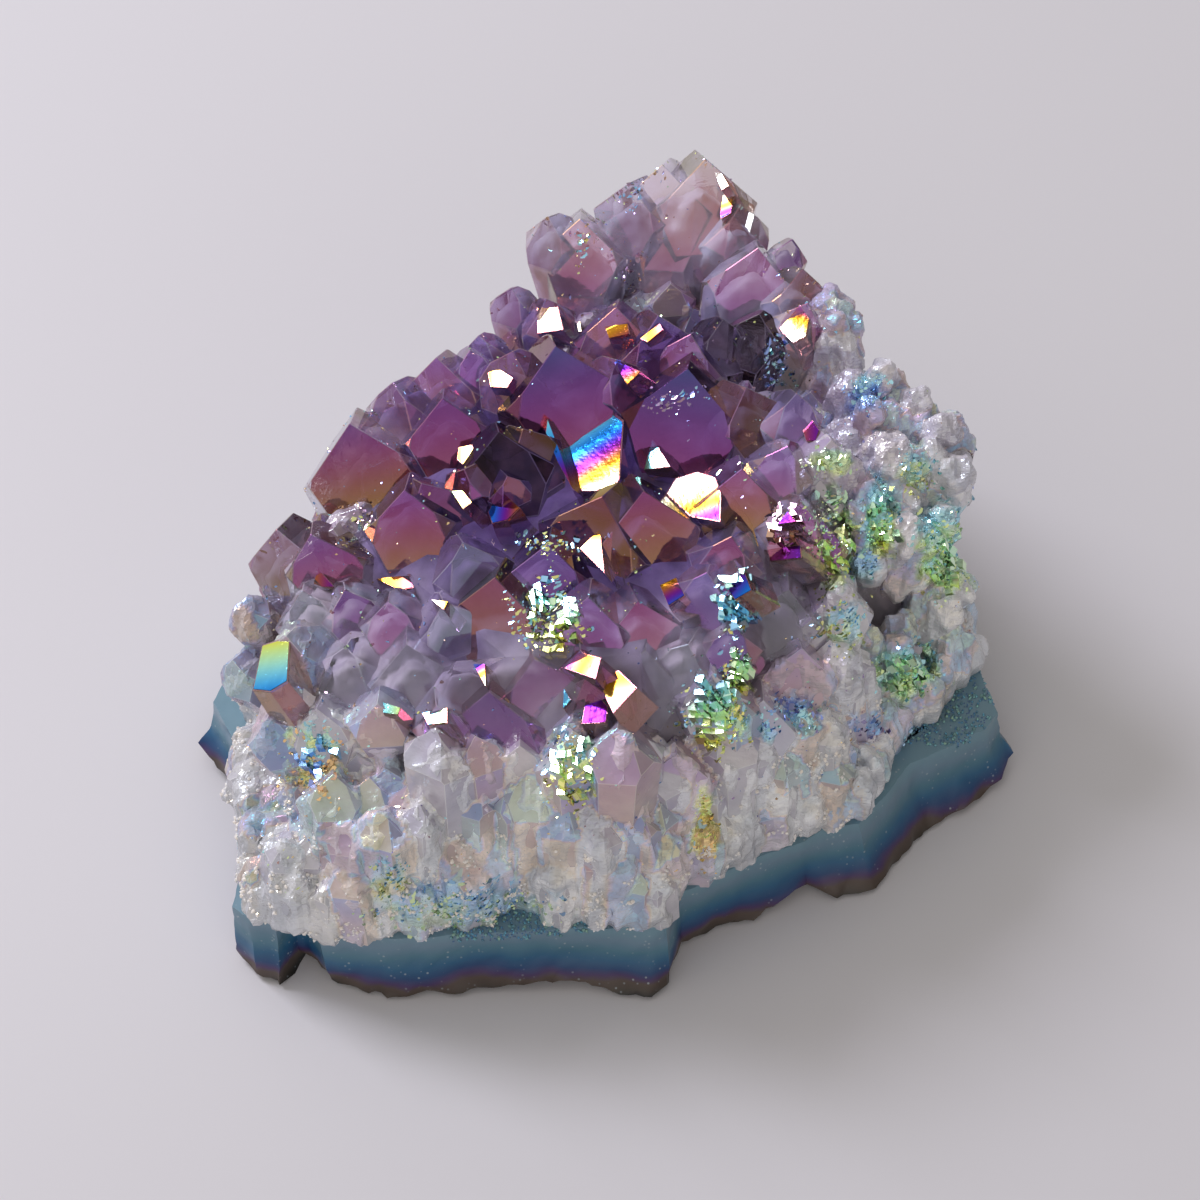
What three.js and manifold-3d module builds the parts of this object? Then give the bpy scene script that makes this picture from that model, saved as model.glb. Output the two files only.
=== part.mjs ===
// Angel aura amethyst cluster: a druse of quartz crystals grown on a thin plate of agate matrix.
// Millimetres, +Z up. The origin is under the middle of the piece, on the flat it rests on,
// +X is to the right and +Y is to the back, where the tallest crystals stand.
import * as THREE from "three";
import { ConvexGeometry } from "three/addons/geometries/ConvexGeometry.js";
import { mergeVertices } from "three/addons/utils/BufferGeometryUtils.js";
import Module from "manifold-3d";

const wasm = await Module();
wasm.setup();

// Driving dimensions
const MATRIX_TOP = 9; // the crystals stand on this level
const TIP_SLOPE = 51.8; // degrees from the crystal's base to a pyramid face, as in quartz
const COLUMN_TAPER = 3; // degrees that each prism face draws in towards the root
const LARGE_WIDTH = 9; // crystals at least this wide have one dominant pyramid face
const PRISM_SPREAD = 0.16; // how far the six prism faces differ, as a share of the half width
const APEX_SPREAD = 0.07; // how far the pyramid faces differ, as a share of the width
// The tables below are measured from a point on the matrix. This moves them so that the origin is
// under the middle of the whole piece.
const PLAN_SHIFT = [0.1, -3.73];

// Crystals of the crown: tip x, tip y, tip height, width, lean to +X, lean to +Y (degrees), and the
// direction that the dominant pyramid face looks in (degrees from +X, so -90 faces the front).
const BACK_CRYSTALS = [
  [-3, 37, 45.5, 9.5, 0, -4, -92], [-6.5, 37.5, 45, 7, -8, 0, -120], [6.5, 43, 48, 12, -6, 2, -100],
  [2.5, 41.5, 47, 9, -10, 0, -115], [11, 43, 48.8, 12, 4, 0, -80],
  [15.5, 39.5, 45, 8, 12, 0, -60], [17.5, 32, 45, 10, 6, 0, -95], [22.5, 30, 44, 8, 12, 4, -70],
  [21.5, 36, 43, 4.5, 14, 8, -90], [-11, 29, 42, 5.5, -8, 4, -120], [-14.5, 22.5, 41, 6, -12, 4, -100],
  [-7, 26, 43, 6, -4, 4, -60], [27, 26.5, 43, 6, 16, 8, -60], [23, 26, 43, 7, 10, 4, -110],
  [27.5, 23, 41, 6, 18, 2, -80], [13, 22, 44, 7, 4, 0, -70], [17, 23, 44, 7.5, 6, 0, -110],
];
const CENTRE_CRYSTALS = [
  [1, 23, 45, 9, -2, 0, -95], [5.5, 21.5, 45, 9, 2, 0, -70], [9.5, 19.5, 44, 8, 2, 0, -110],
  [-5.5, 15, 47, 13, -2, -2, -75], [1, 15, 45, 7, 2, -2, -50], [9.5, 12.5, 46, 14, 2, -2, -98],
  [15.5, 12, 44, 9, 6, -2, -55], [-10.5, 16, 45, 8, -4, 0, -120], [-12, 4, 45, 10, -2, -2, -80],
  [-9, 5.5, 44, 8, 0, 0, -50], [-0.5, -4, 44, 12, 0, -4, -115], [4, -3.5, 44, 12, 2, -4, -75],
  [14.5, 0.5, 43, 10, 4, -4, -90], [13.5, -7.5, 42, 8, 4, -6, -105], [-12, -13.5, 42, 10, -4, -6, -100],
  [-15, -9.5, 43, 8, -4, -4, -70], [-6.5, -9.5, 43, 9, 0, -6, -95],
];
const LEFT_CRYSTALS = [
  [-19, 18, 42, 9, -10, 2, -100], [-15.5, 19, 42, 8, -6, 2, -75], [-24, 15, 41, 8, -14, 2, -115],
  [-18.5, 11, 43, 10, -6, 0, -85], [-28.5, 9, 41, 14, -12, 0, -85], [-22, -2, 43, 10, -6, -4, -90],
  [-20, -0.5, 42, 9, -4, -4, -55], [-36, -3.5, 38, 9, -16, -2, -100], [-32, -5, 39, 9, -12, -4, -80],
  [-33, -11.5, 37, 8, -14, -8, -85], [-40, -10, 33, 4.5, -24, -8, -110],
  [-34.5, -15.5, 34, 8, -16, -12, -115], [-28, -12, 38, 7, -8, -8, -75], [-28, -18.5, 36, 8, -8, -12, -105],
  [-23.5, -14.5, 39, 7, -6, -10, -90], [-17.5, -15.5, 40, 7, -6, -10, -70], [-21.5, -19.5, 38, 10, -6, -12, -85],
  [-31, -23, 31, 8, -12, -16, -100], [-24.5, -24, 34, 7, -6, -16, -90], [-18, -25, 35, 7, -6, -16, -80],
  [-12.5, -24, 36, 12, -2, -14, -92], [-41, -14, 28, 6, -26, -10, -120],
  [-37, -22, 28, 7, -18, -16, -90],
];
const FRONT_CRYSTALS = [
  [-2, -16.5, 42, 9, 0, -10, -95], [3.5, -16, 41, 9, 2, -10, -75], [10.5, -12.5, 41, 7, 4, -8, -105],
  [-3, -20.5, 38, 7, 0, -14, -85], [-0.5, -22, 37, 8, 2, -14, -90],
  [8.5, -19, 38, 8, 6, -12, -115], [-7.5, -21.5, 38, 9, -2, -14, -75], [4, -20, 37, 9, 2, -14, -95],
  [14, -12, 41, 6.5, 6, -8, -80], [13.5, -17, 38, 7, 6, -12, -95], [11.5, -20.5, 34, 8.5, 6, -14, -85],
  [-4, -25, 32, 7, 0, -18, -90], [1.5, -26.5, 32, 9, 2, -18, -100], [7.5, -26, 27, 9, 6, -18, -85],
  [-9.5, -27.5, 31, 8, 0, -18, -90],
];
const RIGHT_CRYSTALS = [
  [21, 11.5, 43, 7, 8, 0, -75], [21, -3, 41, 8, 8, -6, -90],
  [25, 6.5, 41, 9, 12, -2, -75], [19.5, 4, 43, 7, 8, -4, -105], [29.5, 4, 37, 7, 14, -6, -85],
  [23.5, -3, 39, 8, 10, -8, -90], [19.5, -11.5, 37, 9, 8, -12, -95], [25.5, -9, 34, 9, 12, -12, -80],
  [32, 19, 40, 8, 18, 6, -60], [36, 16.5, 39, 8, 22, 6, -50], [39, 12.5, 38, 8, 24, 4, -60],
  [40.5, 8.5, 36, 8, 24, 2, -65], [33, 8.5, 39, 10, 18, 0, -80], [30.5, 13.5, 40, 8, 16, 2, -70],
  [38.5, 3, 33, 8, 22, -4, -75], [34, 1, 34, 9, 18, -6, -85], [40.5, -1.5, 26, 8, 22, -8, -80],
  [33.5, -7.5, 23, 8, 18, -14, -90], [28, -8.5, 26, 6, 14, -16, -95], [21, -15, 31, 9, 10, -16, -85],
  [17, -20, 29, 9, 8, -18, -90],
];

// Foot of the druse on the matrix, anticlockwise from the front left corner, and how high the
// outermost columns reach there.
const FOOT = [
  [-40.4, -33.2, 16], [-35, -36.5, 19], [-29, -38, 21], [-19.5, -37, 22], [-9.5, -36.5, 23], [-1, -37, 23],
  [6, -36.5, 22], [8, -31.5, 23], [12.5, -29.5, 23], [19, -26, 22], [27, -22.5, 20], [31, -16, 20],
  [34, -12, 19], [42.5, -6, 16], [42.5, 1, 22], [41, 8, 28], [38.5, 15, 33], [33, 21, 35], [28, 27, 36],
  [22, 34, 37], [15, 41, 38], [6, 44, 40], [-4, 41, 38], [-10, 34, 36], [-17, 27, 34], [-25, 20, 33],
  [-32, 12, 32], [-37, 4, 30], [-40.5, -4, 27], [-42, -12, 20], [-42, -19, 17], [-40.8, -27, 15],
];
// Rings of milky columns on the broken sides: inset from the foot, share of the height, spacing, width.
const COLUMN_RINGS = [
  [3.6, 0.9, 8.6, 8.4],
  [8, 1.2, 13, 11.5],
];
// Levels of the grown-together middle of the druse: share of the foot's size, share of the columns'
// height, and the level that it stays under.
const CORE_LEVELS = [
  [0.95, 0, MATRIX_TOP],
  [0.94, 0.6, 23],
  [0.86, 1, 30],
  [0.7, 1.5, 34],
  [0.55, 2.4, 37],
];

// Edge of the matrix, anticlockwise from the front left corner: x and y at the top, how far the
// bottom edge stands out beyond it in x and y, and how high that edge is chipped off the rest.
const MATRIX_EDGE = [
  [-41.6, -34, -0.5, -1.5, 1.6], [-39.4, -35.6, 0, -2.6, 0.8], [-35, -36, 0, -2.6, 0.8],
  [-33.4, -36.6, 0.2, -1.6, 1.6], [-31.4, -38.2, 0.8, -0.8, 0.8], [-24.5, -38.2, 0, -3, 0.8],
  [-18.4, -38, -0.2, -2.8, 0.8], [-11.8, -37.4, 0, -2.7, 1.6], [-6.8, -37.2, 0, -2.4, 2.2],
  [-2.4, -37, 0, -2.6, 2], [1.4, -36.9, 0, -3.7, 0.8], [4.8, -36.9, 0.2, -4, 0.8],
  [7, -36.6, 0.6, -2.2, 1], [8.2, -32.4, 0.4, -1.4, 0.8], [12.6, -30.2, 0.2, -1.7, 0.8],
  [16.4, -28, 0.4, -2.8, 0.8], [19, -27, 0, -2.4, 1.8], [22.4, -25.6, 0.8, -1.2, 2.4],
  [24.4, -24.2, 2, -3.8, 0.8], [28.8, -23.2, 2.6, -3.4, 0.8], [32.4, -18.6, 2.8, -2.6, 0.8],
  [35, -15, 2.8, -3.4, 0.8], [40, -12.4, 2.6, -3.2, 1], [44, -10, 2.8, -1.8, 1.4],
  [45.6, -6, 2.8, -2.6, 3], [46, 2, 1.4, 0, 1.4], [43.6, 10, 1.6, 0.4, 0.8], [39.8, 17, 1.4, 0.8, 0.8],
  [34.4, 23.4, 1, 1.2, 1.6], [29, 30, 0.8, 0.8, 0.8], [23, 36.6, 1.4, 0.8, 0.8], [15.6, 43, 0.4, 1.4, 1.8],
  [6, 45.8, -0.4, 1, 0.8], [-5, 42.6, -1, 1.2, 0.8], [-11.6, 35.6, -1.2, 0.6, 1.4],
  [-18.6, 28.6, -1, 0.8, 0.8], [-26.6, 21.4, -1, 0.8, 0.8], [-34, 13, -1.4, 0.4, 2],
  [-39.4, 5, -1.2, 0.4, 0.8], [-44.6, -0.4, -1.4, -0.4, 1.2], [-46, -6, -2.6, -1.6, 3],
  [-43.6, -11, -1.8, 0, 1.4], [-41.4, -16, -0.8, 0, 0.8], [-41, -23, -0.6, 0, 0.8], [-41.2, -30, -0.4, 0, 0.8],
];
const UNDERSIDE_INSET = 2.4; // the flat underside stops this far inside the chipped edge
const MATRIX_MIDDLE = 4.5; // level where the side of the plate turns from steep to chipped
const MIDDLE_OVERHANG = 0.35; // how much of the bottom edge's overhang is left at that level

// A steady pseudo-random share from 0 to 1 for two whole numbers.
function share(a, b) {
  const s = Math.sin(a * 12.9898 + b * 78.233) * 43758.5453;
  return s - Math.floor(s);
}

// three.js geometry to a manifold solid, and back.
function toSolid(geometry) {
  const bare = geometry.clone();
  bare.deleteAttribute("normal");
  bare.deleteAttribute("uv");
  const merged = mergeVertices(bare, 1e-4);
  return new wasm.Manifold(
    new wasm.Mesh({
      numProp: 3,
      vertProperties: new Float32Array(merged.attributes.position.array),
      triVerts: new Uint32Array(merged.index.array),
    }),
  );
}

function toGeometry(solid) {
  const mesh = solid.getMesh();
  const indexed = new THREE.BufferGeometry()
    .setAttribute("position", new THREE.BufferAttribute(mesh.vertProperties, 3))
    .setIndex(new THREE.BufferAttribute(mesh.triVerts, 1));
  const faceted = indexed.toNonIndexed();
  faceted.computeVertexNormals();
  return faceted;
}

// Corners of the convex body that lies behind every plane.
function cornersBehind(planes) {
  const tolerance = 1e-6;
  const corners = new Map();
  const point = new THREE.Vector3();
  for (let i = 0; i < planes.length; i++) {
    for (let j = i + 1; j < planes.length; j++) {
      for (let k = j + 1; k < planes.length; k++) {
        const rows = [planes[i], planes[j], planes[k]].map((p) => p.normal);
        const bc = rows[1].clone().cross(rows[2]);
        const det = rows[0].dot(bc);
        if (Math.abs(det) < tolerance) continue;
        point
          .copy(bc)
          .multiplyScalar(-planes[i].constant)
          .addScaledVector(rows[2].clone().cross(rows[0]), -planes[j].constant)
          .addScaledVector(rows[0].clone().cross(rows[1]), -planes[k].constant)
          .divideScalar(det);
        if (planes.some((p) => p.distanceToPoint(point) > tolerance)) continue;
        const key = point.toArray().map((v) => v.toFixed(3)).join();
        corners.set(key, point.clone());
      }
    }
  }
  return [...corners.values()];
}

// One quartz crystal: a six-sided prism that draws in towards its root, under a six-sided pyramid
// whose alternate faces are larger, cut level where it meets the matrix.
function crystalSolid([x, y, top, width, leanX, leanY, turn], number) {
  const rad = THREE.MathUtils.degToRad;
  const tip = new THREE.Vector3(x, y, top);
  const axis = new THREE.Vector3(Math.tan(rad(leanX)), Math.tan(rad(leanY)), 1).normalize();
  const across = new THREE.Vector3(0, 1, 0).cross(axis).normalize();
  const along = axis.clone().cross(across);
  const half = width / 2;
  const large = width >= LARGE_WIDTH;
  const skew = large ? 0.16 : 0.11; // how far the three smaller pyramid faces stand off the tip
  const reach = large ? 0.18 : 0.1; // how far the tip stands back from the dominant face
  const facing = (angle) =>
    across.clone().multiplyScalar(Math.cos(angle)).addScaledVector(along, Math.sin(angle));
  const shoulder = tip.clone()
    .addScaledVector(facing(rad(turn)), reach * half)
    .addScaledVector(axis, -half * Math.tan(rad(TIP_SLOPE)));
  const planes = [new THREE.Plane(new THREE.Vector3(0, 0, -1), MATRIX_TOP)];
  for (let side = 0; side < 6; side++) {
    const out = facing(rad(turn + 60 * side));
    const pyramid = out.clone().multiplyScalar(Math.sin(rad(TIP_SLOPE)))
      .addScaledVector(axis, Math.cos(rad(TIP_SLOPE)));
    const offset = (side % 2) * skew * width + (share(number, side) - 0.5) * APEX_SPREAD * width;
    planes.push(new THREE.Plane(pyramid, -(pyramid.dot(tip) + offset)));
    const prism = out.clone().multiplyScalar(Math.cos(rad(COLUMN_TAPER)))
      .addScaledVector(axis, -Math.sin(rad(COLUMN_TAPER)));
    const spread = 1 + PRISM_SPREAD * (share(number, side + 10) - 0.5);
    const onFace = shoulder.clone().addScaledVector(out, half * spread);
    planes.push(new THREE.Plane(prism, -prism.dot(onFace)));
  }
  return toSolid(new ConvexGeometry(cornersBehind(planes)));
}

// The foot's outline moved inwards, point by point.
function insetFoot(inset) {
  return FOOT.map(([x, y, height], i) => {
    const [px, py] = FOOT[(i + FOOT.length - 1) % FOOT.length];
    const [nx, ny] = FOOT[(i + 1) % FOOT.length];
    const out = new THREE.Vector2(ny - py, px - nx).normalize();
    return [x - out.x * inset, y - out.y * inset, height, out];
  });
}

// Columns along the broken sides, spaced evenly round each ring.
function rimColumns() {
  const rows = [];
  COLUMN_RINGS.forEach(([inset, heightShare, spacing, width], ring) => {
    const line = insetFoot(inset);
    let left = spacing / 2;
    line.forEach(([x, y, height, out], i) => {
      const [nx, ny, nextHeight] = line[(i + 1) % line.length];
      const length = Math.hypot(nx - x, ny - y);
      while (left < length) {
        const number = 200 + rows.length;
        const t = left / length;
        const wide = width * (0.85 + 0.4 * share(number, 21));
        const level = (height + (nextHeight - height) * t - MATRIX_TOP) * heightShare;
        const tall = MATRIX_TOP + level * (0.82 + 0.36 * share(number, 22));
        const shift = (share(number, 23) - 0.5) * 1.6;
        const lean = 5 * share(number, 24) - 1;
        const drift = Math.tan(THREE.MathUtils.degToRad(lean)) * (tall - MATRIX_TOP) + shift;
        rows.push([
          x + (nx - x) * t + out.x * drift,
          y + (ny - y) * t + out.y * drift,
          tall, wide, lean * out.x, lean * out.y,
          60 * share(number, 25) + 120 * ring,
        ]);
        left += spacing;
      }
      left -= length;
    });
  });
  return rows;
}

// A closed body through loops of equally many points, bottom loop first.
function loft(loops) {
  const count = loops[0].length;
  const index = [];
  for (let level = 0; level + 1 < loops.length; level++) {
    for (let i = 0; i < count; i++) {
      const a = level * count + i;
      const b = level * count + ((i + 1) % count);
      index.push(a, b, b + count, a, b + count, a + count);
    }
  }
  const capOf = (loop) =>
    THREE.ShapeUtils.triangulateShape(loop.map(([x, y]) => new THREE.Vector2(x, y)), []);
  const last = (loops.length - 1) * count;
  capOf(loops[0]).forEach(([a, b, c]) => index.push(a, c, b));
  capOf(loops.at(-1)).forEach(([a, b, c]) => index.push(last + a, last + b, last + c));
  return new THREE.BufferGeometry()
    .setAttribute("position", new THREE.Float32BufferAttribute(loops.flat(2), 3))
    .setIndex(index);
}

// The middle of the druse, where the crystals have grown into one mass.
function coreGeometry() {
  return loft(CORE_LEVELS.map(([size, rise, limit]) =>
    FOOT.map(([x, y, height]) => [
      x * size, y * size, Math.min(MATRIX_TOP + (height - MATRIX_TOP) * rise, limit),
    ])));
}

function druseGeometry() {
  const crown = [
    ...BACK_CRYSTALS, ...CENTRE_CRYSTALS, ...LEFT_CRYSTALS, ...FRONT_CRYSTALS, ...RIGHT_CRYSTALS,
  ];
  const solids = [
    ...crown.map(crystalSolid),
    ...rimColumns().map((row, i) => crystalSolid(row, 200 + i)),
    toSolid(coreGeometry()),
  ];
  // Pockets sealed between neighbouring crystals are surfaces of their own, so the outermost stays.
  const surfaces = wasm.Manifold.union(solids).decompose();
  return toGeometry(surfaces.reduce((a, b) => (b.volume() > a.volume() ? b : a)));
}

// The plate: a flat underside, a chipped lower edge, a steep side and a level top.
function matrixGeometry() {
  return loft([
    MATRIX_EDGE.map(([x, y, dx, dy]) => {
      const out = new THREE.Vector2(x, y).normalize().multiplyScalar(UNDERSIDE_INSET);
      return [x + dx - out.x, y + dy - out.y, 0];
    }),
    MATRIX_EDGE.map(([x, y, dx, dy, chip]) => [x + dx, y + dy, chip]),
    MATRIX_EDGE.map(([x, y, dx, dy]) => [
      x + dx * MIDDLE_OVERHANG, y + dy * MIDDLE_OVERHANG, MATRIX_MIDDLE,
    ]),
    MATRIX_EDGE.map(([x, y]) => [x, y, MATRIX_TOP]),
  ]);
}

function named(name, geometry, material) {
  const mesh = new THREE.Mesh(geometry.translate(...PLAN_SHIFT, 0), material);
  mesh.name = name;
  return mesh;
}

const matrix = named(
  "agate_matrix",
  matrixGeometry(),
  new THREE.MeshStandardMaterial({ color: 0x4a6474, roughness: 0.5, metalness: 0.1 }),
);
const druse = named(
  "amethyst_druse",
  druseGeometry(),
  new THREE.MeshStandardMaterial({ color: 0x8d7796, roughness: 0.12, metalness: 0 }),
);

const cluster = new THREE.Group();
cluster.add(matrix, druse);
export default cluster;
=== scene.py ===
"""Angel aura amethyst cluster: coated quartz crystals on a thin plate of agate matrix.

Lengths in the tables are millimetres: +Z up, +X to the right and +Y to the back. Meshes are made
in metres, in the part's own frame.
"""
import itertools
import math

import bmesh
import bpy
import numpy as np
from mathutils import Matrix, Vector, noise
from mathutils.bvhtree import BVHTree


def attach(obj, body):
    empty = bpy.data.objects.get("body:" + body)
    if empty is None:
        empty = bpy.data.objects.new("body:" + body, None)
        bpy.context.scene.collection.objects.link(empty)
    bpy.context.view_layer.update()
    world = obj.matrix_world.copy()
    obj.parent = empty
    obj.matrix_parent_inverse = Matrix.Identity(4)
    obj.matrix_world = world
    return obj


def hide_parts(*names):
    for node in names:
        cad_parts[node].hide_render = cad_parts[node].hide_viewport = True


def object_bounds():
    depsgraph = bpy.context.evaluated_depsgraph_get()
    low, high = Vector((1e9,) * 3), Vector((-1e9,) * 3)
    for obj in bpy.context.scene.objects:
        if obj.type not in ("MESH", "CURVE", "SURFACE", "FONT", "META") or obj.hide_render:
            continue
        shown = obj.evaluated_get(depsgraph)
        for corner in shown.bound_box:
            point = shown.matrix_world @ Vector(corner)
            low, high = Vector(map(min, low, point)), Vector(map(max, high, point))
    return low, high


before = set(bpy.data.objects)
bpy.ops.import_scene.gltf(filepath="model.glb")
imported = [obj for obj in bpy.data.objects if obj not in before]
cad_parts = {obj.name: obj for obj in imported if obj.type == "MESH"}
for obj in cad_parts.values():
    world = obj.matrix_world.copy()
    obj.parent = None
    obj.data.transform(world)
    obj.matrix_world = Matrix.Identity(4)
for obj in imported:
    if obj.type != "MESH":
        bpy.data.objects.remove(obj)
CAD_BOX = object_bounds()

MM = 0.001

# ---------------------------------------------------------------- sizes

PLAN_SHIFT = (0.1, -3.73)  # the point of the matrix that the plan tables are measured from
MATRIX_TOP = 9.0  # the crystals stand on this level
CLEAR_FLOOR = 15.0  # the clear quartz reaches down to here inside the druse
BACK_FROM = 14.0  # behind this the clear points stand on the matrix itself
TIP_SLOPE = 51.8  # degrees from a crystal's base to a pyramid face, as in quartz
COLUMN_TAPER = 3.0  # degrees that each prism face draws in towards the root
APEX_SKEW = (0.11, 0.16)  # how far three faces stand off a small or a large crystal's tip, in widths
APEX_BACK = (0.1, 0.18)  # how far the tip stands back from the dominant face, in half widths
LARGE_WIDTH = 9.0  # crystals at least this wide have one dominant pyramid face
PRISM_SPREAD = 0.16  # how far the six prism faces differ, as a share of the half width
APEX_SPREAD = 0.07  # how far the pyramid faces differ, as a share of the width
CRYSTAL_LENGTH = 2.4  # of a side crystal below its tip, in crystal widths
ROOT_SINK = 0.4  # how far the crystals' roots reach below the matrix's top
LEFT_FROM = -13.0  # the clear points left of this are darker
LEFT_TONE = 0.16  # and by this much, from clear at 0 to black at 1
LARGE_TONES = (0.2, 0.85)  # tones of the faces of a large point: painted shade in the base colour
SMALL_TONES = (0.0, 0.6)
EVEN_TONE = 0.12  # of every other face, above the lower of those
DARK_SPREAD = (0.84, 1.1)  # how the faces of a dark point differ, as a share of its tone
EDGE_WIDTH = 0.18  # worn edge between two faces of a large crystal, painted paler: partly wear, partly a painted highlight
MILKY_EDGE = 0.07
MILKY_BELOW = 34.5  # points of the front and left that end lower than this are milky
MILKY_RIGHT = 25.0  # and so are those that stand further right than this
HIGHEST = 48.3  # small crystals end below this level
# Crystals on the sides of a larger one: their width, how far they are below its tip, how far beside its
# axis (in its half widths) and how much they lean outwards.
SIDE_WIDTH = (0.24, 0.42)
SIDE_BELOW = (0.62, 1.15)
SIDE_ASIDE = (0.8, 1.05)
SIDE_LEAN = (0.02, 0.3)
HEART_SINK = 0.42  # how far the cloudy root stays below the tip, in crystal widths
HEART_WIDTH = 0.74  # its width as a share of the crystal's
HEART_FLOOR = CLEAR_FLOOR + 1
HEART_CORE = 2.2  # how far the cloudy middle stays below the clear one
HEART_TONE = 0.8  # points this dark have no cloudy root

QUARTZ_IOR = 1.54
FILM_IOR = 2.1
WAVELENGTHS = (620.0, 540.0, 455.0)  # of red, green and blue, in nanometres
CROWN_FILM = (240, 273)  # nanometres at the tip
RIND_FILM = (110, 215)
FILM_SPREAD = 5  # how far a point's faces differ from its own film
FILM_FALL = (1.5, 5.0)  # nanometres of film lost for each millimetre below the tip
FRONT_BEFORE = -12.0  # the clear points in front of this are silvery or violet
VIOLET_FILM = (252, 272)
VIOLET_FALL = 1.6
SILVER_SHARE = 0.3  # of those points
SILVER_FILM = (18, 34)
SILVER_FALL = 0.4
SILVER_TONE = 0.14
PALE_SHARE = 0.45  # of the milky points
PALE_FILM = (50, 76)
PALE_FALL = 0.5
KIND_DRAW = 77  # which of a point's random shares decides its kind

CAMERA_HEIGHT = 52.0  # degrees above the table
CAMERA_LENS = 85.0
CAMERA_DISTANCE = 323.0
CAMERA_TARGET = (-0.7, -4.73, 22.0)

FLOOR_REACH = 1500  # half the side of the floor
KEY_DIRECTION = (-0.62, 0.43, 0.66)
KEY_DISTANCE = 0.9  # metres from KEY_AIM
KEY_AIM = (0, 0, 0.025)
KEY_SIZE = 0.3
KEY_WATTS = 4.7
KEY_COLOUR = (0.9, 0.892, 1.0)
FLOOR_COLOUR = (0.72, 0.71, 0.745, 1)
WORLD_COLOUR = (1.0, 0.95, 0.905, 1)
WORLD_DIM = 0.19
WORLD_BRIGHT = 0.79
FRONT_DIRECTION = (0.1, -0.97, 0.18)  # a pale wall behind the camera
FRONT_BRIGHT = 0.64
PURPLE_MIDDLE = (-0.006, 0.004, 0.044)  # metres, as in every material
LEFT_FADE = (-0.040, -0.026)  # the milky quartz gets clearer between these values of X
SMOKY_FILM = (11.0, 16.0)  # clear points shine less where their film is thinner, mostly the dark points, whose darkness is partly smoky colour and partly painted shade
BAND_WARP = 0.0012  # how far the matrix's bands wander up and down

# Crystals of the crown: tip x, tip y, tip height, width, lean to +X, lean to +Y (degrees), and the
# direction that the dominant pyramid face looks in (degrees from +X, so -90 faces the front).
BACK_CRYSTALS = [
    [-3, 37, 45.5, 9.5, 0, -4, -92], [-6.5, 37.5, 45, 7, -8, 0, -120], [6.5, 43, 48, 12, -6, 2, -100],
    [2.5, 41.5, 47, 9, -10, 0, -115], [11, 43, 48.8, 12, 4, 0, -80], [15.5, 39.5, 45, 8, 12, 0, -60],
    [17.5, 32, 45, 10, 6, 0, -95], [22.5, 30, 44, 8, 12, 4, -70], [21.5, 36, 43, 4.5, 14, 8, -90],
    [-11, 29, 42, 5.5, -8, 4, -120], [-14.5, 22.5, 41, 6, -12, 4, -100], [-7, 26, 43, 6, -4, 4, -60],
    [27, 26.5, 43, 6, 16, 8, -60], [23, 26, 43, 7, 10, 4, -110], [27.5, 23, 41, 6, 18, 2, -80],
    [13, 22, 44, 7, 4, 0, -70], [17, 23, 44, 7.5, 6, 0, -110],
]
CENTRE_CRYSTALS = [
    [1, 23, 45, 9, -2, 0, -95], [5.5, 21.5, 45, 9, 2, 0, -70], [9.5, 19.5, 44, 8, 2, 0, -110],
    [-5.5, 15, 47, 13, -2, -2, -75], [1, 15, 45, 7, 2, -2, -50], [9.5, 12.5, 46, 14, 2, -2, -98],
    [15.5, 12, 44, 9, 6, -2, -55], [-10.5, 16, 45, 8, -4, 0, -120], [-12, 4, 45, 10, -2, -2, -80],
    [-9, 5.5, 44, 8, 0, 0, -50], [-0.5, -4, 44, 12, 0, -4, -115], [4, -3.5, 44, 12, 2, -4, -75],
    [14.5, 0.5, 43, 10, 4, -4, -90], [13.5, -7.5, 42, 8, 4, -6, -105], [-12, -13.5, 42, 10, -4, -6, -100],
    [-15, -9.5, 43, 8, -4, -4, -70], [-6.5, -9.5, 43, 9, 0, -6, -95],
]
LEFT_CRYSTALS = [
    [-19, 18, 42, 9, -10, 2, -100], [-15.5, 19, 42, 8, -6, 2, -75], [-24, 15, 41, 8, -14, 2, -115],
    [-18.5, 11, 43, 10, -6, 0, -85], [-28.5, 9, 41, 14, -12, 0, -85], [-22, -2, 43, 10, -6, -4, -90],
    [-20, -0.5, 42, 9, -4, -4, -55], [-36, -3.5, 38, 9, -16, -2, -100], [-32, -5, 39, 9, -12, -4, -80],
    [-33, -11.5, 37, 8, -14, -8, -85], [-40, -10, 33, 4.5, -24, -8, -110],
    [-34.5, -15.5, 34, 8, -16, -12, -115], [-28, -12, 38, 7, -8, -8, -75],
    [-28, -18.5, 36, 8, -8, -12, -105], [-23.5, -14.5, 39, 7, -6, -10, -90],
    [-17.5, -15.5, 40, 7, -6, -10, -70], [-21.5, -19.5, 38, 10, -6, -12, -85],
    [-31, -23, 31, 8, -12, -16, -100], [-24.5, -24, 34, 7, -6, -16, -90], [-18, -25, 35, 7, -6, -16, -80],
    [-12.5, -24, 36, 12, -2, -14, -92], [-41, -14, 28, 6, -26, -10, -120],
    [-37, -22, 28, 7, -18, -16, -90],
]
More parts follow.
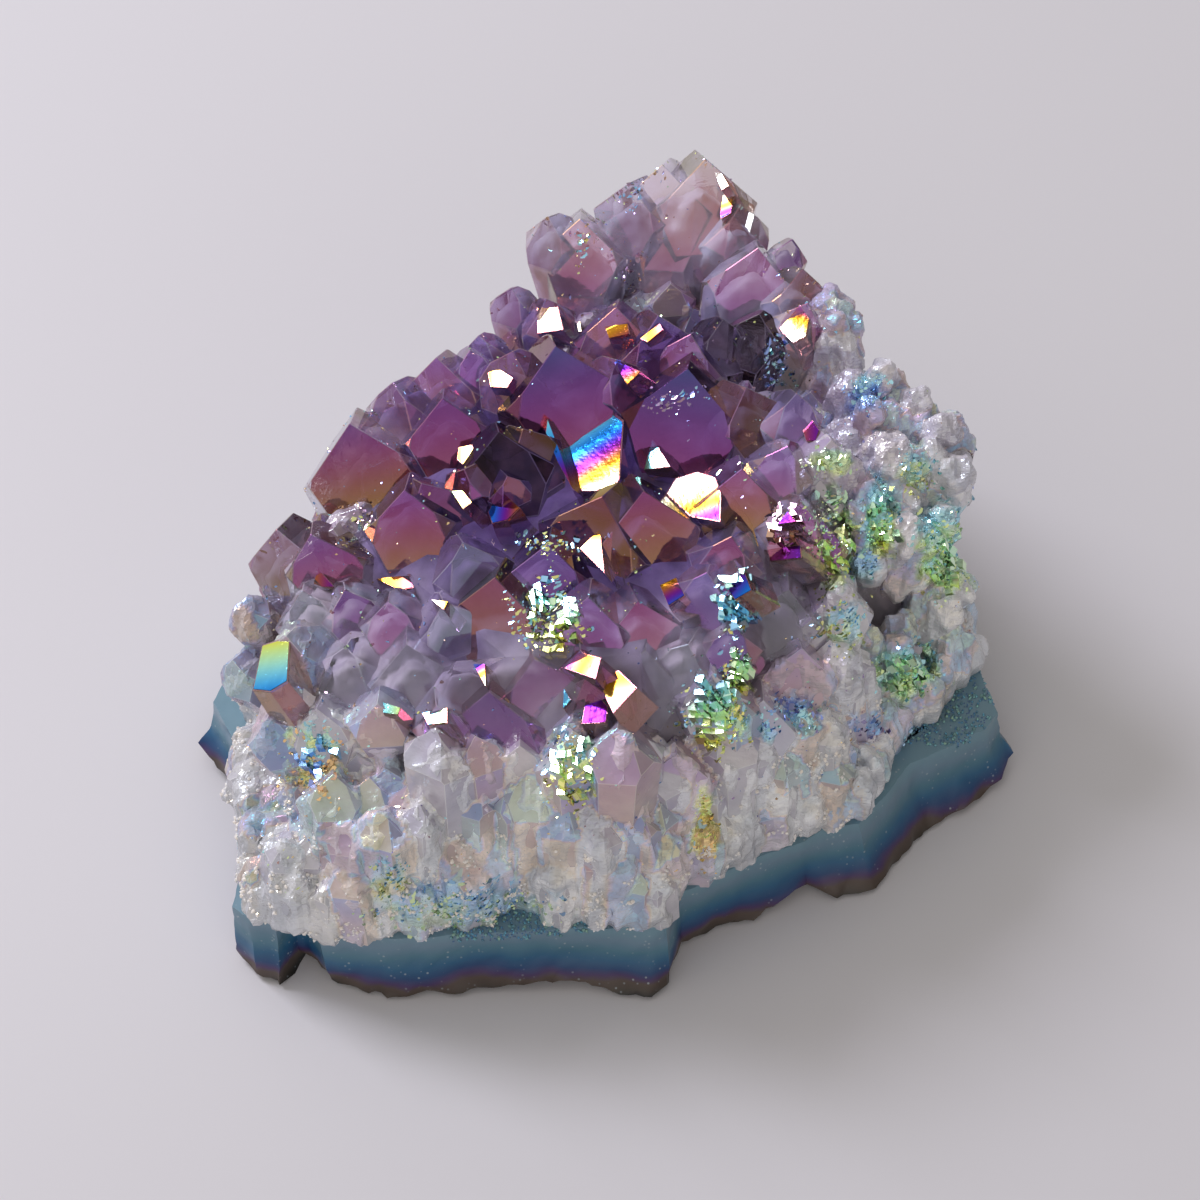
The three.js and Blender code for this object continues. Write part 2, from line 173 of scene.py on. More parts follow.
FRONT_CRYSTALS = [
    [-2, -16.5, 42, 9, 0, -10, -95], [3.5, -16, 41, 9, 2, -10, -75], [10.5, -12.5, 41, 7, 4, -8, -105],
    [-3, -20.5, 38, 7, 0, -14, -85], [-0.5, -22, 37, 8, 2, -14, -90], [8.5, -19, 38, 8, 6, -12, -115],
    [-7.5, -21.5, 38, 9, -2, -14, -75], [4, -20, 37, 9, 2, -14, -95], [14, -12, 41, 6.5, 6, -8, -80],
    [13.5, -17, 38, 7, 6, -12, -95], [11.5, -20.5, 34, 8.5, 6, -14, -85], [-4, -25, 32, 7, 0, -18, -90],
    [1.5, -26.5, 32, 9, 2, -18, -100], [7.5, -26, 27, 9, 6, -18, -85], [-9.5, -27.5, 31, 8, 0, -18, -90],
]
RIGHT_CRYSTALS = [
    [21, 11.5, 43, 7, 8, 0, -75], [21, -3, 41, 8, 8, -6, -90], [25, 6.5, 41, 9, 12, -2, -75],
    [19.5, 4, 43, 7, 8, -4, -105], [29.5, 4, 37, 7, 14, -6, -85], [23.5, -3, 39, 8, 10, -8, -90],
    [19.5, -11.5, 37, 9, 8, -12, -95], [25.5, -9, 34, 9, 12, -12, -80], [32, 19, 40, 8, 18, 6, -60],
    [36, 16.5, 39, 8, 22, 6, -50], [39, 12.5, 38, 8, 24, 4, -60], [40.5, 8.5, 36, 8, 24, 2, -65],
    [33, 8.5, 39, 10, 18, 0, -80], [30.5, 13.5, 40, 8, 16, 2, -70], [38.5, 3, 33, 8, 22, -4, -75],
    [34, 1, 34, 9, 18, -6, -85], [40.5, -1.5, 26, 8, 22, -8, -80], [33.5, -7.5, 23, 8, 18, -14, -90],
    [28, -8.5, 26, 6, 14, -16, -95], [21, -15, 31, 9, 10, -16, -85], [17, -20, 29, 9, 8, -18, -90],
]
# More for the left. A crystal's place in the whole crown is its number, so these come last.
MORE_CRYSTALS = [
    [-27.2, -25.1, 26, 6.5, -10, -16, -90], [-23.9, -27.2, 26.5, 6, -8, -18, -90],
    [-15.6, 0.7, 43.2, 5, -10, -8, -130], [-10.8, 0.4, 42.4, 5, 2, -12, -60],
]

# Foot of the druse on the matrix, anticlockwise from the front left corner, and how high the
# outermost columns reach there.
FOOT = [
    [-40.4, -33.2, 16], [-35, -36.5, 19], [-29, -38, 21], [-19.5, -37, 22], [-9.5, -36.5, 23],
    [-1, -37, 23], [6, -36.5, 22], [8, -31.5, 23], [12.5, -29.5, 23], [19, -26, 22], [27, -22.5, 20],
    [31, -16, 20], [34, -12, 19], [42.5, -6, 16], [42.5, 1, 22], [41, 8, 28], [38.5, 15, 33], [33, 21, 35],
    [28, 27, 36], [22, 34, 37], [15, 41, 38], [6, 44, 40], [-4, 41, 38], [-10, 34, 36], [-17, 27, 34],
    [-25, 20, 33], [-32, 12, 32], [-37, 4, 30], [-40.5, -4, 27], [-42, -12, 20], [-42, -19, 17],
    [-40.8, -27, 15],
]
FOOT_RECESS = {4: 2.6, 12: 1.6, 13: 3.2}  # where the druse stands back from its foot line
# Levels of the druse's middle: share of the foot's outline, share of its height there, highest level.
CORE_LEVELS = [[0.86, 0, MATRIX_TOP], [0.85, 0.6, 23], [0.8, 1, 30], [0.7, 1.5, 34], [0.55, 2.4, 37]]

# Edge of the matrix, anticlockwise from the front left corner: x and y at the top, how far the
# bottom edge stands out beyond it in x and y, and how high that edge is chipped off the rest.
MATRIX_EDGE = [
    [-41.6, -34, -0.5, -1.5, 1.6], [-39.4, -35.8, 0, -2.6, 0.8], [-36.2, -36.4, 0, -2.8, 0.8],
    [-34.8, -34.8, 0.2, -0.6, 2.2], [-33.6, -35.2, 0.2, -0.6, 2.2], [-31.6, -38.2, 0.8, -0.8, 0.8],
    [-24.5, -38.2, 0, -3, 0.8], [-18.4, -38, -0.2, -2.8, 0.8], [-11.8, -37.4, 0, -2.7, 1.6],
    [-6.8, -37.2, 0, -2.4, 2.2], [-2.4, -37, 0, -2.6, 2], [1.4, -36.9, 0, -3.7, 0.8],
    [4.8, -36.9, 0.2, -4, 0.8], [7, -36.6, 0.6, -2.2, 1], [8.2, -32.4, 0.4, -1.4, 0.8],
    [12.6, -30.2, 0.2, -1.7, 0.8], [16.4, -28, 0.4, -2.8, 0.8], [19, -27, 0, -2.4, 1.8],
    [22.4, -25.6, 0.8, -1.2, 2.4], [24.4, -24.2, 2, -3.8, 0.8], [28.8, -23.2, 2.6, -3.4, 0.8],
    [32.4, -18.6, 2.8, -2.6, 0.8], [35, -15, 2.8, -3.4, 0.8], [40, -12.4, 2.6, -3.2, 1],
    [44, -10, 2.8, -1.8, 1.4], [45.6, -7.4, 2.8, -1.2, 3], [43.4, 1.2, 1.0, 0, 1.4],
    [42.6, 10, 1.2, 0.4, 0.8], [39.8, 17, 1.4, 0.8, 0.8], [34.4, 23.4, 1, 1.2, 1.6],
    [29, 30, 0.8, 0.8, 0.8], [23, 36.6, 1.4, 0.8, 0.8], [15.6, 43, 0.4, 1.4, 1.8], [6, 45.8, -0.4, 1, 0.8],
    [-5, 42.6, -1, 1.2, 0.8], [-11.6, 35.6, -1.2, 0.6, 1.4], [-18.6, 28.6, -1, 0.8, 0.8],
    [-26.6, 21.4, -1, 0.8, 0.8], [-34, 13, -1.4, 0.4, 2], [-39.4, 5, -1.2, 0.4, 0.8],
    [-44.6, -0.4, -1.4, -0.4, 1.2], [-46, -6, -2.6, -1.6, 3], [-43.6, -11, -1.8, 0, 1.4],
    [-41.4, -16, -0.8, 0, 0.8], [-41, -23, -0.6, 0, 0.8], [-41.2, -30, -0.4, 0, 0.8],
]
UNDERSIDE_INSET = 2.4  # the flat underside stops this far inside the chipped edge
MATRIX_MIDDLE = 4.5  # level where the side of the plate turns from steep to chipped
MIDDLE_OVERHANG = 0.35  # how much of the bottom edge's overhang is left at that level
MATRIX_WORN = 0.35  # how far the side is drawn in, so that its waves stay inside the CAD's
MATRIX_CHIPS = 3.6  # the chips of the lower edge end at this level
MATRIX_LEVELS = 13
MATRIX_STEP = 0.8
MATRIX_SHARP = 38  # degrees between two faces, above which their edge is sharp
LEDGE_RINGS = (0.985, 0.965, 0.94, 0.91, 0.87)  # rings of the top, as a share of its outline
# Bands of the matrix: share of its height, colour.
MATRIX_BANDS = [
    (0.0, (0.0134, 0.0134, 0.0123)), (0.08, (0.056, 0.0392, 0.028)), (0.17, (0.0784, 0.0504, 0.0392)),
    (0.24, (0.056, 0.0246, 0.112)), (0.33, (0.00672, 0.0504, 0.168)), (0.47, (0.0134, 0.112, 0.235)),
    (0.64, (0.0672, 0.19, 0.269)), (0.83, (0.146, 0.246, 0.336)), (1.0, (0.168, 0.302, 0.381)),
]

# Rows of milky columns on the broken sides: inset at the foot and at the tip, share of the local
# height, highest tip, spacing and width.
COLUMN_ROWS = [
    [1.6, 3.0, 0.8, 27, 2.9, 4.2], [2.8, 5.2, 1.2, 34, 3.4, 5.2], [5.0, 8.6, 1.65, 38, 4.4, 6.2],
]
# Short columns that hide the roots of the tall clear points at the back: tip x, y and height, width,
# lean to +X and to +Y, turn.
BACK_COLUMNS = [
    [15.5, 43.2, 27, 5, 3, 2, 20], [11, 44.4, 21, 5.4, 0, 3, 5], [6.2, 44.8, 28, 5.2, -2, 2, 40],
    [1.8, 43.4, 24, 4.8, -3, 2, 15], [-2.4, 41.8, 27, 5, -5, 3, 50], [19.2, 39, 25, 5, 6, 3, 30],
    [22.8, 34.8, 28, 4.8, 6, 3, 10], [13.4, 44.2, 16.5, 4.2, 1, 3, 35], [8.4, 45, 17, 4.4, -1, 3, 25],
    [3.8, 44.4, 18, 4.2, -2, 3, 0], [17.6, 41.4, 18, 4.2, 3, 3, 45], [-5.4, 39.8, 22, 4.6, -5, 3, 20],
]
ROUGH_RIGHT = 27.0  # right of here every face is etched
BUNDLE = 7  # thinner points that each point of that side is split into
BUNDLE_ASIDE = (0.24, 0.4)  # in the whole point's widths, as for the next two
BUNDLE_BELOW = (0.1, 0.8)
BUNDLE_WIDTH = (0.36, 0.6)
BUNDLE_LEAN = (0.0, 0.12)
RIGHT_REACH = 2.3  # how far the ends of the columns hang out there
LEFT_REACH = 0.9  # and everywhere else
LOBE_SPACING = 2.6  # rounded column ends that hang over the matrix
LOBE_SINK = 0.6  # how far they reach below its top
LOBE_WIDTH = (1.5, 2.4)
LOBE_HEIGHT = (2.4, 4.6)
SIDE_OVERLAP = 3  # how far the etched side reaches into the rest
ROUGH_VOXEL = 0.52  # cells of the etched quartz
SIDE_VOXEL = 0.4
HEART_VOXEL = 0.7
# Tone of the points that aren't like the rest, from clear to black, by their place in the crown: partly
# their own smoky colour, partly painted shade.
POINT_TONES = {
    0: 0.02, 1: 0.06, 2: 0.01, 3: 0.03, 4: 0.02, 5: 0.08, 6: 0.1, 9: 0.08, 10: 0.08, 11: 0.15, 15: 1.0,
    16: 1.0, 20: 0.92, 22: 0.85, 25: 1.0, 26: 0.93, 27: 0.8, 28: 0.75, 31: 0.9, 34: 0.1, 35: 0.14,
    36: 0.08, 40: 0.8, 95: 0.85, 96: 0.9,
}
# Film at the tip and its fall for each millimetre, for the same.
POINT_FILMS = {
    0: (234, -2.0), 1: (240, -1.4), 2: (226, -1.8), 3: (238, -1.6), 4: (230, -1.6), 5: (238, -1.4),
    6: (244, -1), 7: (246, 3), 15: (4, 0), 16: (4, 0), 20: (268, 3.0), 22: (266, 2.4), 25: (6, 0),
    26: (236, 3), 27: (244, 3), 28: (247, 4), 31: (240, 2), 38: (262, 5), 39: (258, 4.5), 40: (252, 3),
}

# Faces that mirror the lamp or the bright sky round it, placed where the camera sees them: corners
# in millimetres to the right of and above the middle of its view, film at the start and the end of
# the face, direction in which the film runs (degrees from the right), and how far the face is turned
# off the exact mirror direction.
FLASH_FACES = [
    ([(-4.4, 16.9), (1.4, 21.5), (2.7, 20.5), (2.3, 14.0), (1.3, 12.4), (-3.1, 12.5)],
     (170, 76), -57, 0.12),
    ([(-6.0, 20.7), (-4.4, 16.5), (-3.2, 12.8), (-4.8, 15.7), (-6.2, 19.2)], (172, 116), -70, 0.19),
    ([(-7.2, 33.3), (-4.8, 33.4), (-4.2, 30.8), (-7.1, 30.4)], (96, 66), -90, 0.0),
    ([(-3.2, 30.4), (-2.3, 31.8), (-2.1, 30.6)], (64, 80), 0, 0.05),
    ([(0.5, 31.2), (3.2, 31.5), (3.4, 30.3), (1.0, 29.8)], (100, 118), -60, 0.16),
    ([(4.6, 29.8), (6.8, 31.5), (7.2, 30.8), (5.4, 29.4)], (100, 120), 20, 0.12),
    ([(1.3, 27.6), (4.7, 26.0), (3.1, 24.5)], (152, 108), -60, 0.12),
    ([(-12.8, 25.9), (-11.6, 26.4), (-9.9, 25.3), (-10.6, 24.2), (-12.5, 24.3)], (106, 74), 0, 0.03),
    ([(6.0, 18.5), (8.0, 15.2), (5.0, 14.8)], (168, 180), -70, 0.13),
    ([(7.5, 12.1), (8.6, 13.9), (11.1, 14.6), (13.1, 14.0), (13.8, 12.1), (13.7, 8.9), (10.3, 9.5)],
     (60, 138), -70, 0.13),
    ([(20.4, 30.9), (22.8, 33.7), (23.9, 32.1), (23.5, 30.0), (22.0, 29.2)], (62, 132), 70, 0.11),
    ([(-16.1, 17.4), (-14.6, 17.7), (-14.0, 16.2), (-15.3, 15.2), (-16.3, 16.0)], (106, 82), 0, 0.02),
    ([(-16.9, 12.4), (-15.7, 12.5), (-14.6, 11.1), (-15.6, 10.4)], (190, 206), -50, 0.1),
    ([(-2.3, 5.9), (0.0, 8.1), (0.5, 3.1)], (112, 66), -90, 0.04),
    ([(23.1, 19.3), (24.2, 20.5), (25.0, 19.4), (24.6, 18.1), (23.5, 18.1)], (118, 130), 0, 0.16),
    ([(20.2, 8.6), (21.4, 10.1), (22.4, 8.9)], (134, 122), -60, 0.19),
    ([(19.0, 5.9), (22.9, 6.2), (23.0, 4.8), (19.3, 4.4)], (122, 130), 0, 0.2),
    ([(-25.5, 2.4), (-21.4, 2.9), (-21.3, 1.4), (-22.8, 1.1)], (104, 120), 0, 0.1),
    ([(-19.2, 0.0), (-17.3, -0.2), (-17.8, -1.1)], (64, 110), 0, 0.05),
    ([(-14.5, -7.2), (-13.1, -7.3), (-13.0, -9.9)], (150, 70), -60, 0.08),
    ([(-4.0, -7.8), (-2.5, -5.9), (0.1, -6.6), (-0.5, -9.0)], (124, 90), -30, 0.09),
    ([(-0.3, -9.1), (2.1, -8.0), (4.2, -10.0), (1.5, -12.9)], (114, 84), -80, 0.07),
    ([(-1.4, -9.8), (0.9, -12.1), (0.7, -14.0), (-2.1, -14.1)], (134, 126), -60, 0.11),
    ([(-4.1, -10.1), (-3.3, -11.4), (-4.2, -12.4)], (164, 172), 0, 0.12),
    ([(-25.0, -11.6), (-22.7, -12.3), (-23.0, -13.1), (-24.7, -12.9)], (168, 196), 0, 0.12),
    ([(-20.3, -12.9), (-17.4, -12.3), (-17.4, -14.0), (-19.6, -14.2)], (160, 200), 0, 0.1),
    ([(-32.9, 1.4), (-32.1, 3.5), (-30.3, 1.5)], (112, 128), 0, 0.2),
    ([(13.0, 48.8), (13.8, 48.7), (14.7, 47.2), (13.9, 46.7)], (64, 80), 0, 0.03),
    ([(13.7, 43.9), (14.0, 46.2), (15.3, 46.3), (14.9, 44.1), (13.8, 43.5)], (76, 140), -70, 0.08),
    ([(-12.8, 10.0), (-11.4, 12.5), (-9.1, 10.5), (-10.5, 9.1), (-12.3, 8.7)], (152, 112), -10, 0.2),
    ([(-39.6, -10.3), (-38.5, -5.1), (-35.3, -4.1), (-35.6, -9.3), (-37.6, -10.5)], (206, 152), -80, 0.22),
    ([(15.4, 0.0), (13.9, 2.3), (16.5, 3.2), (17.3, 1.1)], (116, 150), -40, 0.25),
    ([(6.8, 1.7), (8.7, 2.6), (9.7, 0.5), (7.8, -0.7)], (104, 140), -60, 0.28),
]
FLASH_ROOT = 0.8  # how far a flashing point widens behind its face
FLASH_LIFT = 0.2  # how far its face stands off the quartz at least
FLASH_RISE = (0.12, 0.6)  # how far a small or a large one may stand out, as a share of its size
FLASH_LARGE = 3.2
FLASH_DEPTH = 3.2
FLASH_FILM = 245  # on the sides of the point
FLASH_TONE = 0.5  # of the darkest of them; the tone is painted shade
FLASH_GAP = 0.1  # between a face and the highest quartz behind it
CAP_SIZE = 0.94  # the coated part of a face, as a share of it
CAP_PROUD = 0.06
CAP_DEPTH = 0.3
# Patches of small bright facets, placed in the same way: right, up, width, height, film at the top and
# the bottom, share of the facets that are there.
CRACKLES = [
    [15.4, 0.2, 5.4, 7.0, (174, 165), 0.9], [12.9, -12.6, 5.6, 8.4, (166, 206), 0.75],
    [15.9, -7.6, 2.4, 8.0, (168, 204), 0.7], [31.9, 9.3, 4.2, 8.6, (168, 200), 0.6],
    [39.3, 3.8, 4.6, 6.4, (180, 198), 0.5], [-5.4, -1.6, 5.6, 8.6, (166, 206), 0.55],
    [35.3, -8.0, 5.4, 5.4, (176, 190), 0.5], [-3.3, -18.8, 4.6, 8.0, (172, 206), 0.5],
    [21.1, 8.8, 4.0, 4.6, (126, 112), 0.8], [-32.5, -17.9, 5.0, 7.0, (176, 132), 0.35],
    [26.6, 6.8, 4.0, 10.0, (186, 199), 0.3],
]
CRACKLE_CELL = 0.8  # size of a facet
CRACKLE_LINE = 40  # random seeds kept for each line of facets
CRACKLE_TURN = (0.03, 0.2)  # how far the facets are turned off the mirror direction
CRACKLE_LIFT = 0.04
CRACKLE_DEPTH = 1.3
CRACKLE_UNEVEN = 0.32  # how far the facets' corners are moved, in facets
# Patches of crackled film, placed in the same way: right, up, width, height, the two films that
# meet in it, more of the first at the top, and how bright it is.
GLITTER_PATCHES = [
    [-6.0, -1.4, 9.4, 9.6, (166, 204), 1.0], [-5.9, 6.3, 8.0, 3.6, (166, 204), 1.0],
    [15.8, 0.6, 4.6, 6.0, (168, 160), 1.0], [15.4, -8.5, 3.6, 14.0, (168, 206), 1.0],
    [13.1, -13.1, 8.0, 9.8, (166, 206), 1.0], [31.9, 9.3, 5.4, 9.6, (170, 199), 1.0],
    [39.3, 5.7, 7.0, 12.0, (172, 197), 0.9], [26.4, 15.7, 6.0, 3.6, (186, 200), 0.9],
    [30.3, 23.8, 6.0, 5.0, (172, 150), 0.9], [-3.3, -18.8, 6.4, 11.0, (166, 206), 0.9],
    [11.9, -25.9, 3.6, 9.0, (200, 222), 0.9], [35.3, -8.0, 7.6, 7.4, (170, 196), 0.9],
    [-32.5, -17.9, 7.6, 10.0, (174, 224), 0.9], [26.2, 6.8, 6.0, 14.0, (184, 199), 0.8],
    [19.4, -13.6, 3.6, 5.6, (150, 174), 0.9], [21.1, 8.6, 4.4, 5.6, (128, 118), 1.0],
    [22.6, -13.0, 6.0, 4.4, (146, 174), 0.8], [27.5, -3.0, 6.0, 6.0, (168, 206), 0.7],
    [30.0, 4.0, 4.4, 4.4, (160, 174), 0.8], [3.6, 46.4, 3.0, 5.4, (125, 160), 0.9],
    [-2.0, 40.2, 2.4, 5.0, (166, 206), 0.9], [3.6, 36.5, 2.2, 5.0, (128, 110), 0.9],
    [-15.0, 39.2, 1.8, 2.6, (150, 160), 1.0], [-10.0, 39.0, 1.6, 2.2, (150, 165), 1.0],
    [-16.0, -35.0, 23.0, 6.0, (160, 194), 0.45], [38.2, -17.6, 10.0, 7.0, (160, 174), 0.45],
    [30.5, -14.5, 6.0, 3.0, (158, 130), 0.5], [-24.0, -31.5, 6.0, 5.0, (168, 204), 0.5],
    [-41.0, 2.0, 3.4, 6.0, (120, 160), 0.7], [-27.0, 9.0, 3.4, 3.4, (124, 206), 0.9],
    [8.0, 23.0, 9.0, 3.0, (160, 126), 0.8], [20.5, 27.0, 4.4, 7.0, (146, 174), 0.8],
    [36.0, 15.0, 5.0, 6.0, (170, 204), 0.7],
]
GLITTER_SPREAD = 9  # how unlike its neighbours' a flake's film may be
FLAKES = 8.6  # to each square millimetre of a patch
FLAKE_SIZE = (0.06, 0.35)
FLAKE_STRETCH = (1.0, 2.1)  # how much longer than wide a flake is
FLAKE_ROOT = 0.6  # size of its root as a share of its top
FLAKE_PROUD = 0.03  # how far a flake stands out of the quartz
FLAKE_TILT = 0.26
SPARKLES = 8000  # small flakes all over the quartz
SPARKLE_SIZE = (0.05, 0.19)
SPARKLE_TILT = 0.5
SPARKLE_PROUD = 0.02
SPARKLE_FILM = (85, 205)
# Where each kind's steady random numbers start, so that no two kinds share them.
SATELLITE_SEED = 400
COLUMN_SEED = 1000
ROW_SEEDS = 500
LOBE_SEED = 3000
BUNDLE_SEED = 5000
BACK_SEED = 7000
GLITTER_SEED = 9000
CRACKLE_SEED = 20000
PATCH_SEEDS = 1000
FACET_SEED = 300

# Relief of the etched quartz and of the cloudy roots, in metres.
ETCHED_RELIEF = {
    "Lump Size": 0.0034, "Lump Height": 0.0021, "Ridge Size": 0.0014, "Ridge Height": 0.0011,
    "Grain Size": 0.0008, "Grain Height": 0.0006, "Upright": 0.3,
    "Sink": 0.0003, "Sink From": 0.018, "Sink To": 0.028, "Rough From": 0.024,
}
HEART_RELIEF = {
    "Lump Size": 0.004, "Lump Height": 0.0009, "Ridge Size": 0.0016, "Ridge Height": 0.0005,
    "Grain Size": 0.001, "Grain Height": 0.0003,
}
RIND_GRAINS = {
    "Density": 2.6e6, "Smallest": 0.00006, "Largest": 0.00026, "Spacing": 0.00026,
    "Thinnest Film": 60.0, "Thickest Film": 90.0,
    "Patch Size": 0.003, "Patch Cover": 0.58, "Bottom": 0.0, "Ceiling": 0.022, "Seed": 7,
}
LEDGE_GRAINS = {
    "Density": 1.0e7, "Smallest": 0.00006, "Largest": 0.00024, "Spacing": 0.00022,
    "Thinnest Film": 138.0, "Thickest Film": 188.0,
    "Patch Size": 0.003, "Patch Cover": 0.4, "Bottom": 0.0082, "Ceiling": 0.0098, "Seed": 3,
    "First Place": (-0.0095, -0.0395, 0.009), "Second Place": (0.038, -0.0085, 0.009), "Reach": 0.0075,
}


def moved(rows):
    """Rows of a table whose plan is measured from PLAN_SHIFT, in the part's frame."""
    return [[row[0] + PLAN_SHIFT[0], row[1] + PLAN_SHIFT[1], *row[2:]] for row in rows]


CROWN = moved(
    BACK_CRYSTALS + CENTRE_CRYSTALS + LEFT_CRYSTALS + FRONT_CRYSTALS + RIGHT_CRYSTALS + MORE_CRYSTALS
)
FOOT = moved(FOOT)
MATRIX_EDGE = moved(MATRIX_EDGE)


# ---------------------------------------------------------------- solids

def share(a, b):
    """A steady pseudo-random share from 0 to 1 for two whole numbers."""
    s = math.sin(a * 12.9898 + b * 78.233) * 43758.5453
    return s - math.floor(s)


def spread(a, b, low, high):
    """A steady pseudo-random number from low to high for two whole numbers."""
    return low + (high - low) * share(a, b)


def limited(x):
    return min(1.0, max(0.0, x))


def unit(v):
    v = np.asarray(v, float)
    return v / np.linalg.norm(v)


def leaning(lean_x, lean_y):
    """An upward direction that leans to +X and to +Y by these degrees."""
    return unit([math.tan(math.radians(lean_x)), math.tan(math.radians(lean_y)), 1.0])


def facing(axis, angle):
    """A direction square to axis, at this angle in degrees round it from +X."""
    across = unit(np.cross([0.0, 1.0, 0.0], axis))
    along = np.cross(axis, across)
    return across * math.cos(math.radians(angle)) + along * math.sin(math.radians(angle))


def corners_behind(normals, offsets):
    """Corners of the convex body behind every plane, each given by its normal and its offset."""
    triples = np.array(list(itertools.combinations(range(len(normals)), 3)))
    rows = normals[triples]
    solvable = np.abs(np.linalg.det(rows)) > 1e-6
    points = np.linalg.solve(rows[solvable], offsets[triples][solvable][..., None])[..., 0]
    inside = (points @ normals.T <= offsets + 1e-6).all(1)
    return np.unique(np.round(points[inside], 3), axis=0)


def hull_of(points):
    """The convex body round these points, as a bmesh."""
    bm = bmesh.new()
    for point in points:
        bm.verts.new(point)
    hull = bmesh.ops.convex_hull(bm, input=bm.verts[:])
    spare = {v for v in hull["geom_interior"] + hull["geom_unused"] if isinstance(v, bmesh.types.BMVert)}
    bmesh.ops.delete(bm, geom=list(spare), context="VERTS")
    return bm


def convex_body(normals, offsets, number, film, dark, tones):
    """The body as a bmesh, whose faces carry their tone (painted shade, for dark points partly smoky
    colour) and the film that they have at the tip.
    """
    bm = hull_of(corners_behind(normals, offsets))
    bmesh.ops.dissolve_limit(bm, angle_limit=0.02, verts=bm.verts[:], edges=bm.edges[:])
    bmesh.ops.recalc_face_normals(bm, faces=bm.faces[:])
    top_film = bm.faces.layers.float.new("top_film")
    tone = bm.faces.layers.float.new("tone")
    for face in bm.faces:
        face.normal_update()
        index = int(np.argmax(normals @ np.array(face.normal)))
        face[top_film] = spread(number, 40 + index, *film)
        own = spread(number, 60 + index, *tones) if index % 2 else tones[0] + EVEN_TONE
        face[tone] = min(1.0, dark * spread(number, 60 + index, *DARK_SPREAD) if dark else own)
    return bm, top_film


def crystal_planes(tip, axis, width, turn, number, floor):
    """Normals and offsets of a quartz crystal's floor, then of a pyramid and a prism face per side."""
    half = width / 2
    large = width >= LARGE_WIDTH
    slope = math.radians(TIP_SLOPE)
    taper = math.radians(COLUMN_TAPER)
    shoulder = tip + facing(axis, turn) * APEX_BACK[large] * half - axis * half * math.tan(slope)
    planes = [floor]
    for side in range(6):
        out = facing(axis, turn + 60 * side)
        pyramid = out * math.sin(slope) + axis * math.cos(slope)
        offset = (side % 2) * APEX_SKEW[large] * width + (share(number, side) - 0.5) * APEX_SPREAD * width
        planes.append((pyramid, pyramid @ tip + offset))
        prism = out * math.cos(taper) - axis * math.sin(taper)
        bulge = 1 + PRISM_SPREAD * (share(number, side + 10) - 0.5)
        planes.append((prism, prism @ (shoulder + out * half * bulge)))
    normals, offsets = zip(*planes)
    return np.array(normals), np.array(offsets)


def crystal(planes, tip, axis, number, film, edge, fall, dark, large):
    """A crystal with worn edges, whose bevel faces are marked to be painted paler: partly wear, partly a
    painted highlight. Its faces carry the thickness of their film in nanometres, which runs from film[0] to
    film[1] at the tip and thins down the crystal."""
    normals, offsets = planes
    # Face tones darken the base colour as painted shade, with more of it on the left.
    tones = np.array(LARGE_TONES if large else SMALL_TONES) + (LEFT_TONE if tip[0] < LEFT_FROM else 0.0)
    bm, top_film = convex_body(normals, offsets, number, film, dark, tones)
    if edge > 0:
        bmesh.ops.bevel(
            bm, geom=bm.edges[:], offset=edge / 2, segments=1, affect="EDGES", clamp_overlap=True
        )
    bmesh.ops.recalc_face_normals(bm, faces=bm.faces[:])
    if fall is None:
        fall = spread(number, 9, *FILM_FALL)
    film_layer = bm.loops.layers.float.new("film")
    wear_and_highlight = bm.faces.layers.float.new("wear_and_highlight")
    for face in bm.faces:
        face.normal_update()
        # Bevel faces are marked, so that the materials paint them paler: partly wear, partly a painted
        # highlight.
        face[wear_and_highlight] = float(np.max(normals @ np.array(face.normal)) < 0.999)
        for loop in face.loops:
            below = max(0.0, (tip - np.asarray(loop.vert.co)) @ axis)
            loop[film_layer] = face[top_film] - fall * below
    bm.faces.layers.float.remove(top_film)
    return finish_bmesh("point", bm)


def finish_bmesh(name, bm):
    """An object from a bmesh in millimetres."""
    bmesh.ops.scale(bm, vec=(MM, MM, MM), verts=bm.verts[:])
    mesh = bpy.data.meshes.new(name)
    bm.to_mesh(mesh)
    bm.free()
    return bpy.data.objects.new(name, mesh)


def between_rings(low, high):
    """The four-sided faces between two rings of equally many points."""
    after = [*range(1, len(low)), 0]
    return [(low[i], low[j], high[j], high[i]) for i, j in enumerate(after)]


def loft(name, loops):
    """A closed body through loops of equally many points, bottom loop first."""
    bm = bmesh.new()
    rings = [[bm.verts.new(p) for p in loop] for loop in loops]
    for low, high in zip(rings, rings[1:]):
        for a, b, c, d in between_rings(low, high):
            bm.faces.new([a, b, c])
            bm.faces.new([a, c, d])
    bm.faces.new(reversed(rings[0]))
    bm.faces.new(rings[-1])
    bmesh.ops.triangulate(bm, faces=[f for f in bm.faces if len(f.verts) > 3])
    bmesh.ops.recalc_face_normals(bm, faces=bm.faces[:])
    return finish_bmesh(name, bm)


def plain_mesh(obj):
    """The object's mesh with its modifiers applied."""
    graph = bpy.context.evaluated_depsgraph_get()
    return bpy.data.meshes.new_from_object(obj.evaluated_get(graph), depsgraph=graph)


def drop(obj):
    mesh = obj.data
    bpy.data.objects.remove(obj)
    bpy.data.meshes.remove(mesh)


def placed(name, data):
    """A new object in the scene."""
    obj = bpy.data.objects.new(name, data)
    bpy.context.scene.collection.objects.link(obj)
    return obj


def add_piece(name, mesh, material):
    """A visible piece of the object, at the origin, from a mesh in place."""
    mesh.name = name
    places = np.zeros(3 * len(mesh.vertices))
    mesh.vertices.foreach_get("co", places)
    places = np.clip(places.reshape(-1, 3), CAD_BOX[0], CAD_BOX[1])
    mesh.vertices.foreach_set("co", places.ravel())
    mesh.materials.clear()
    mesh.materials.append(material)
    return placed(name, mesh)


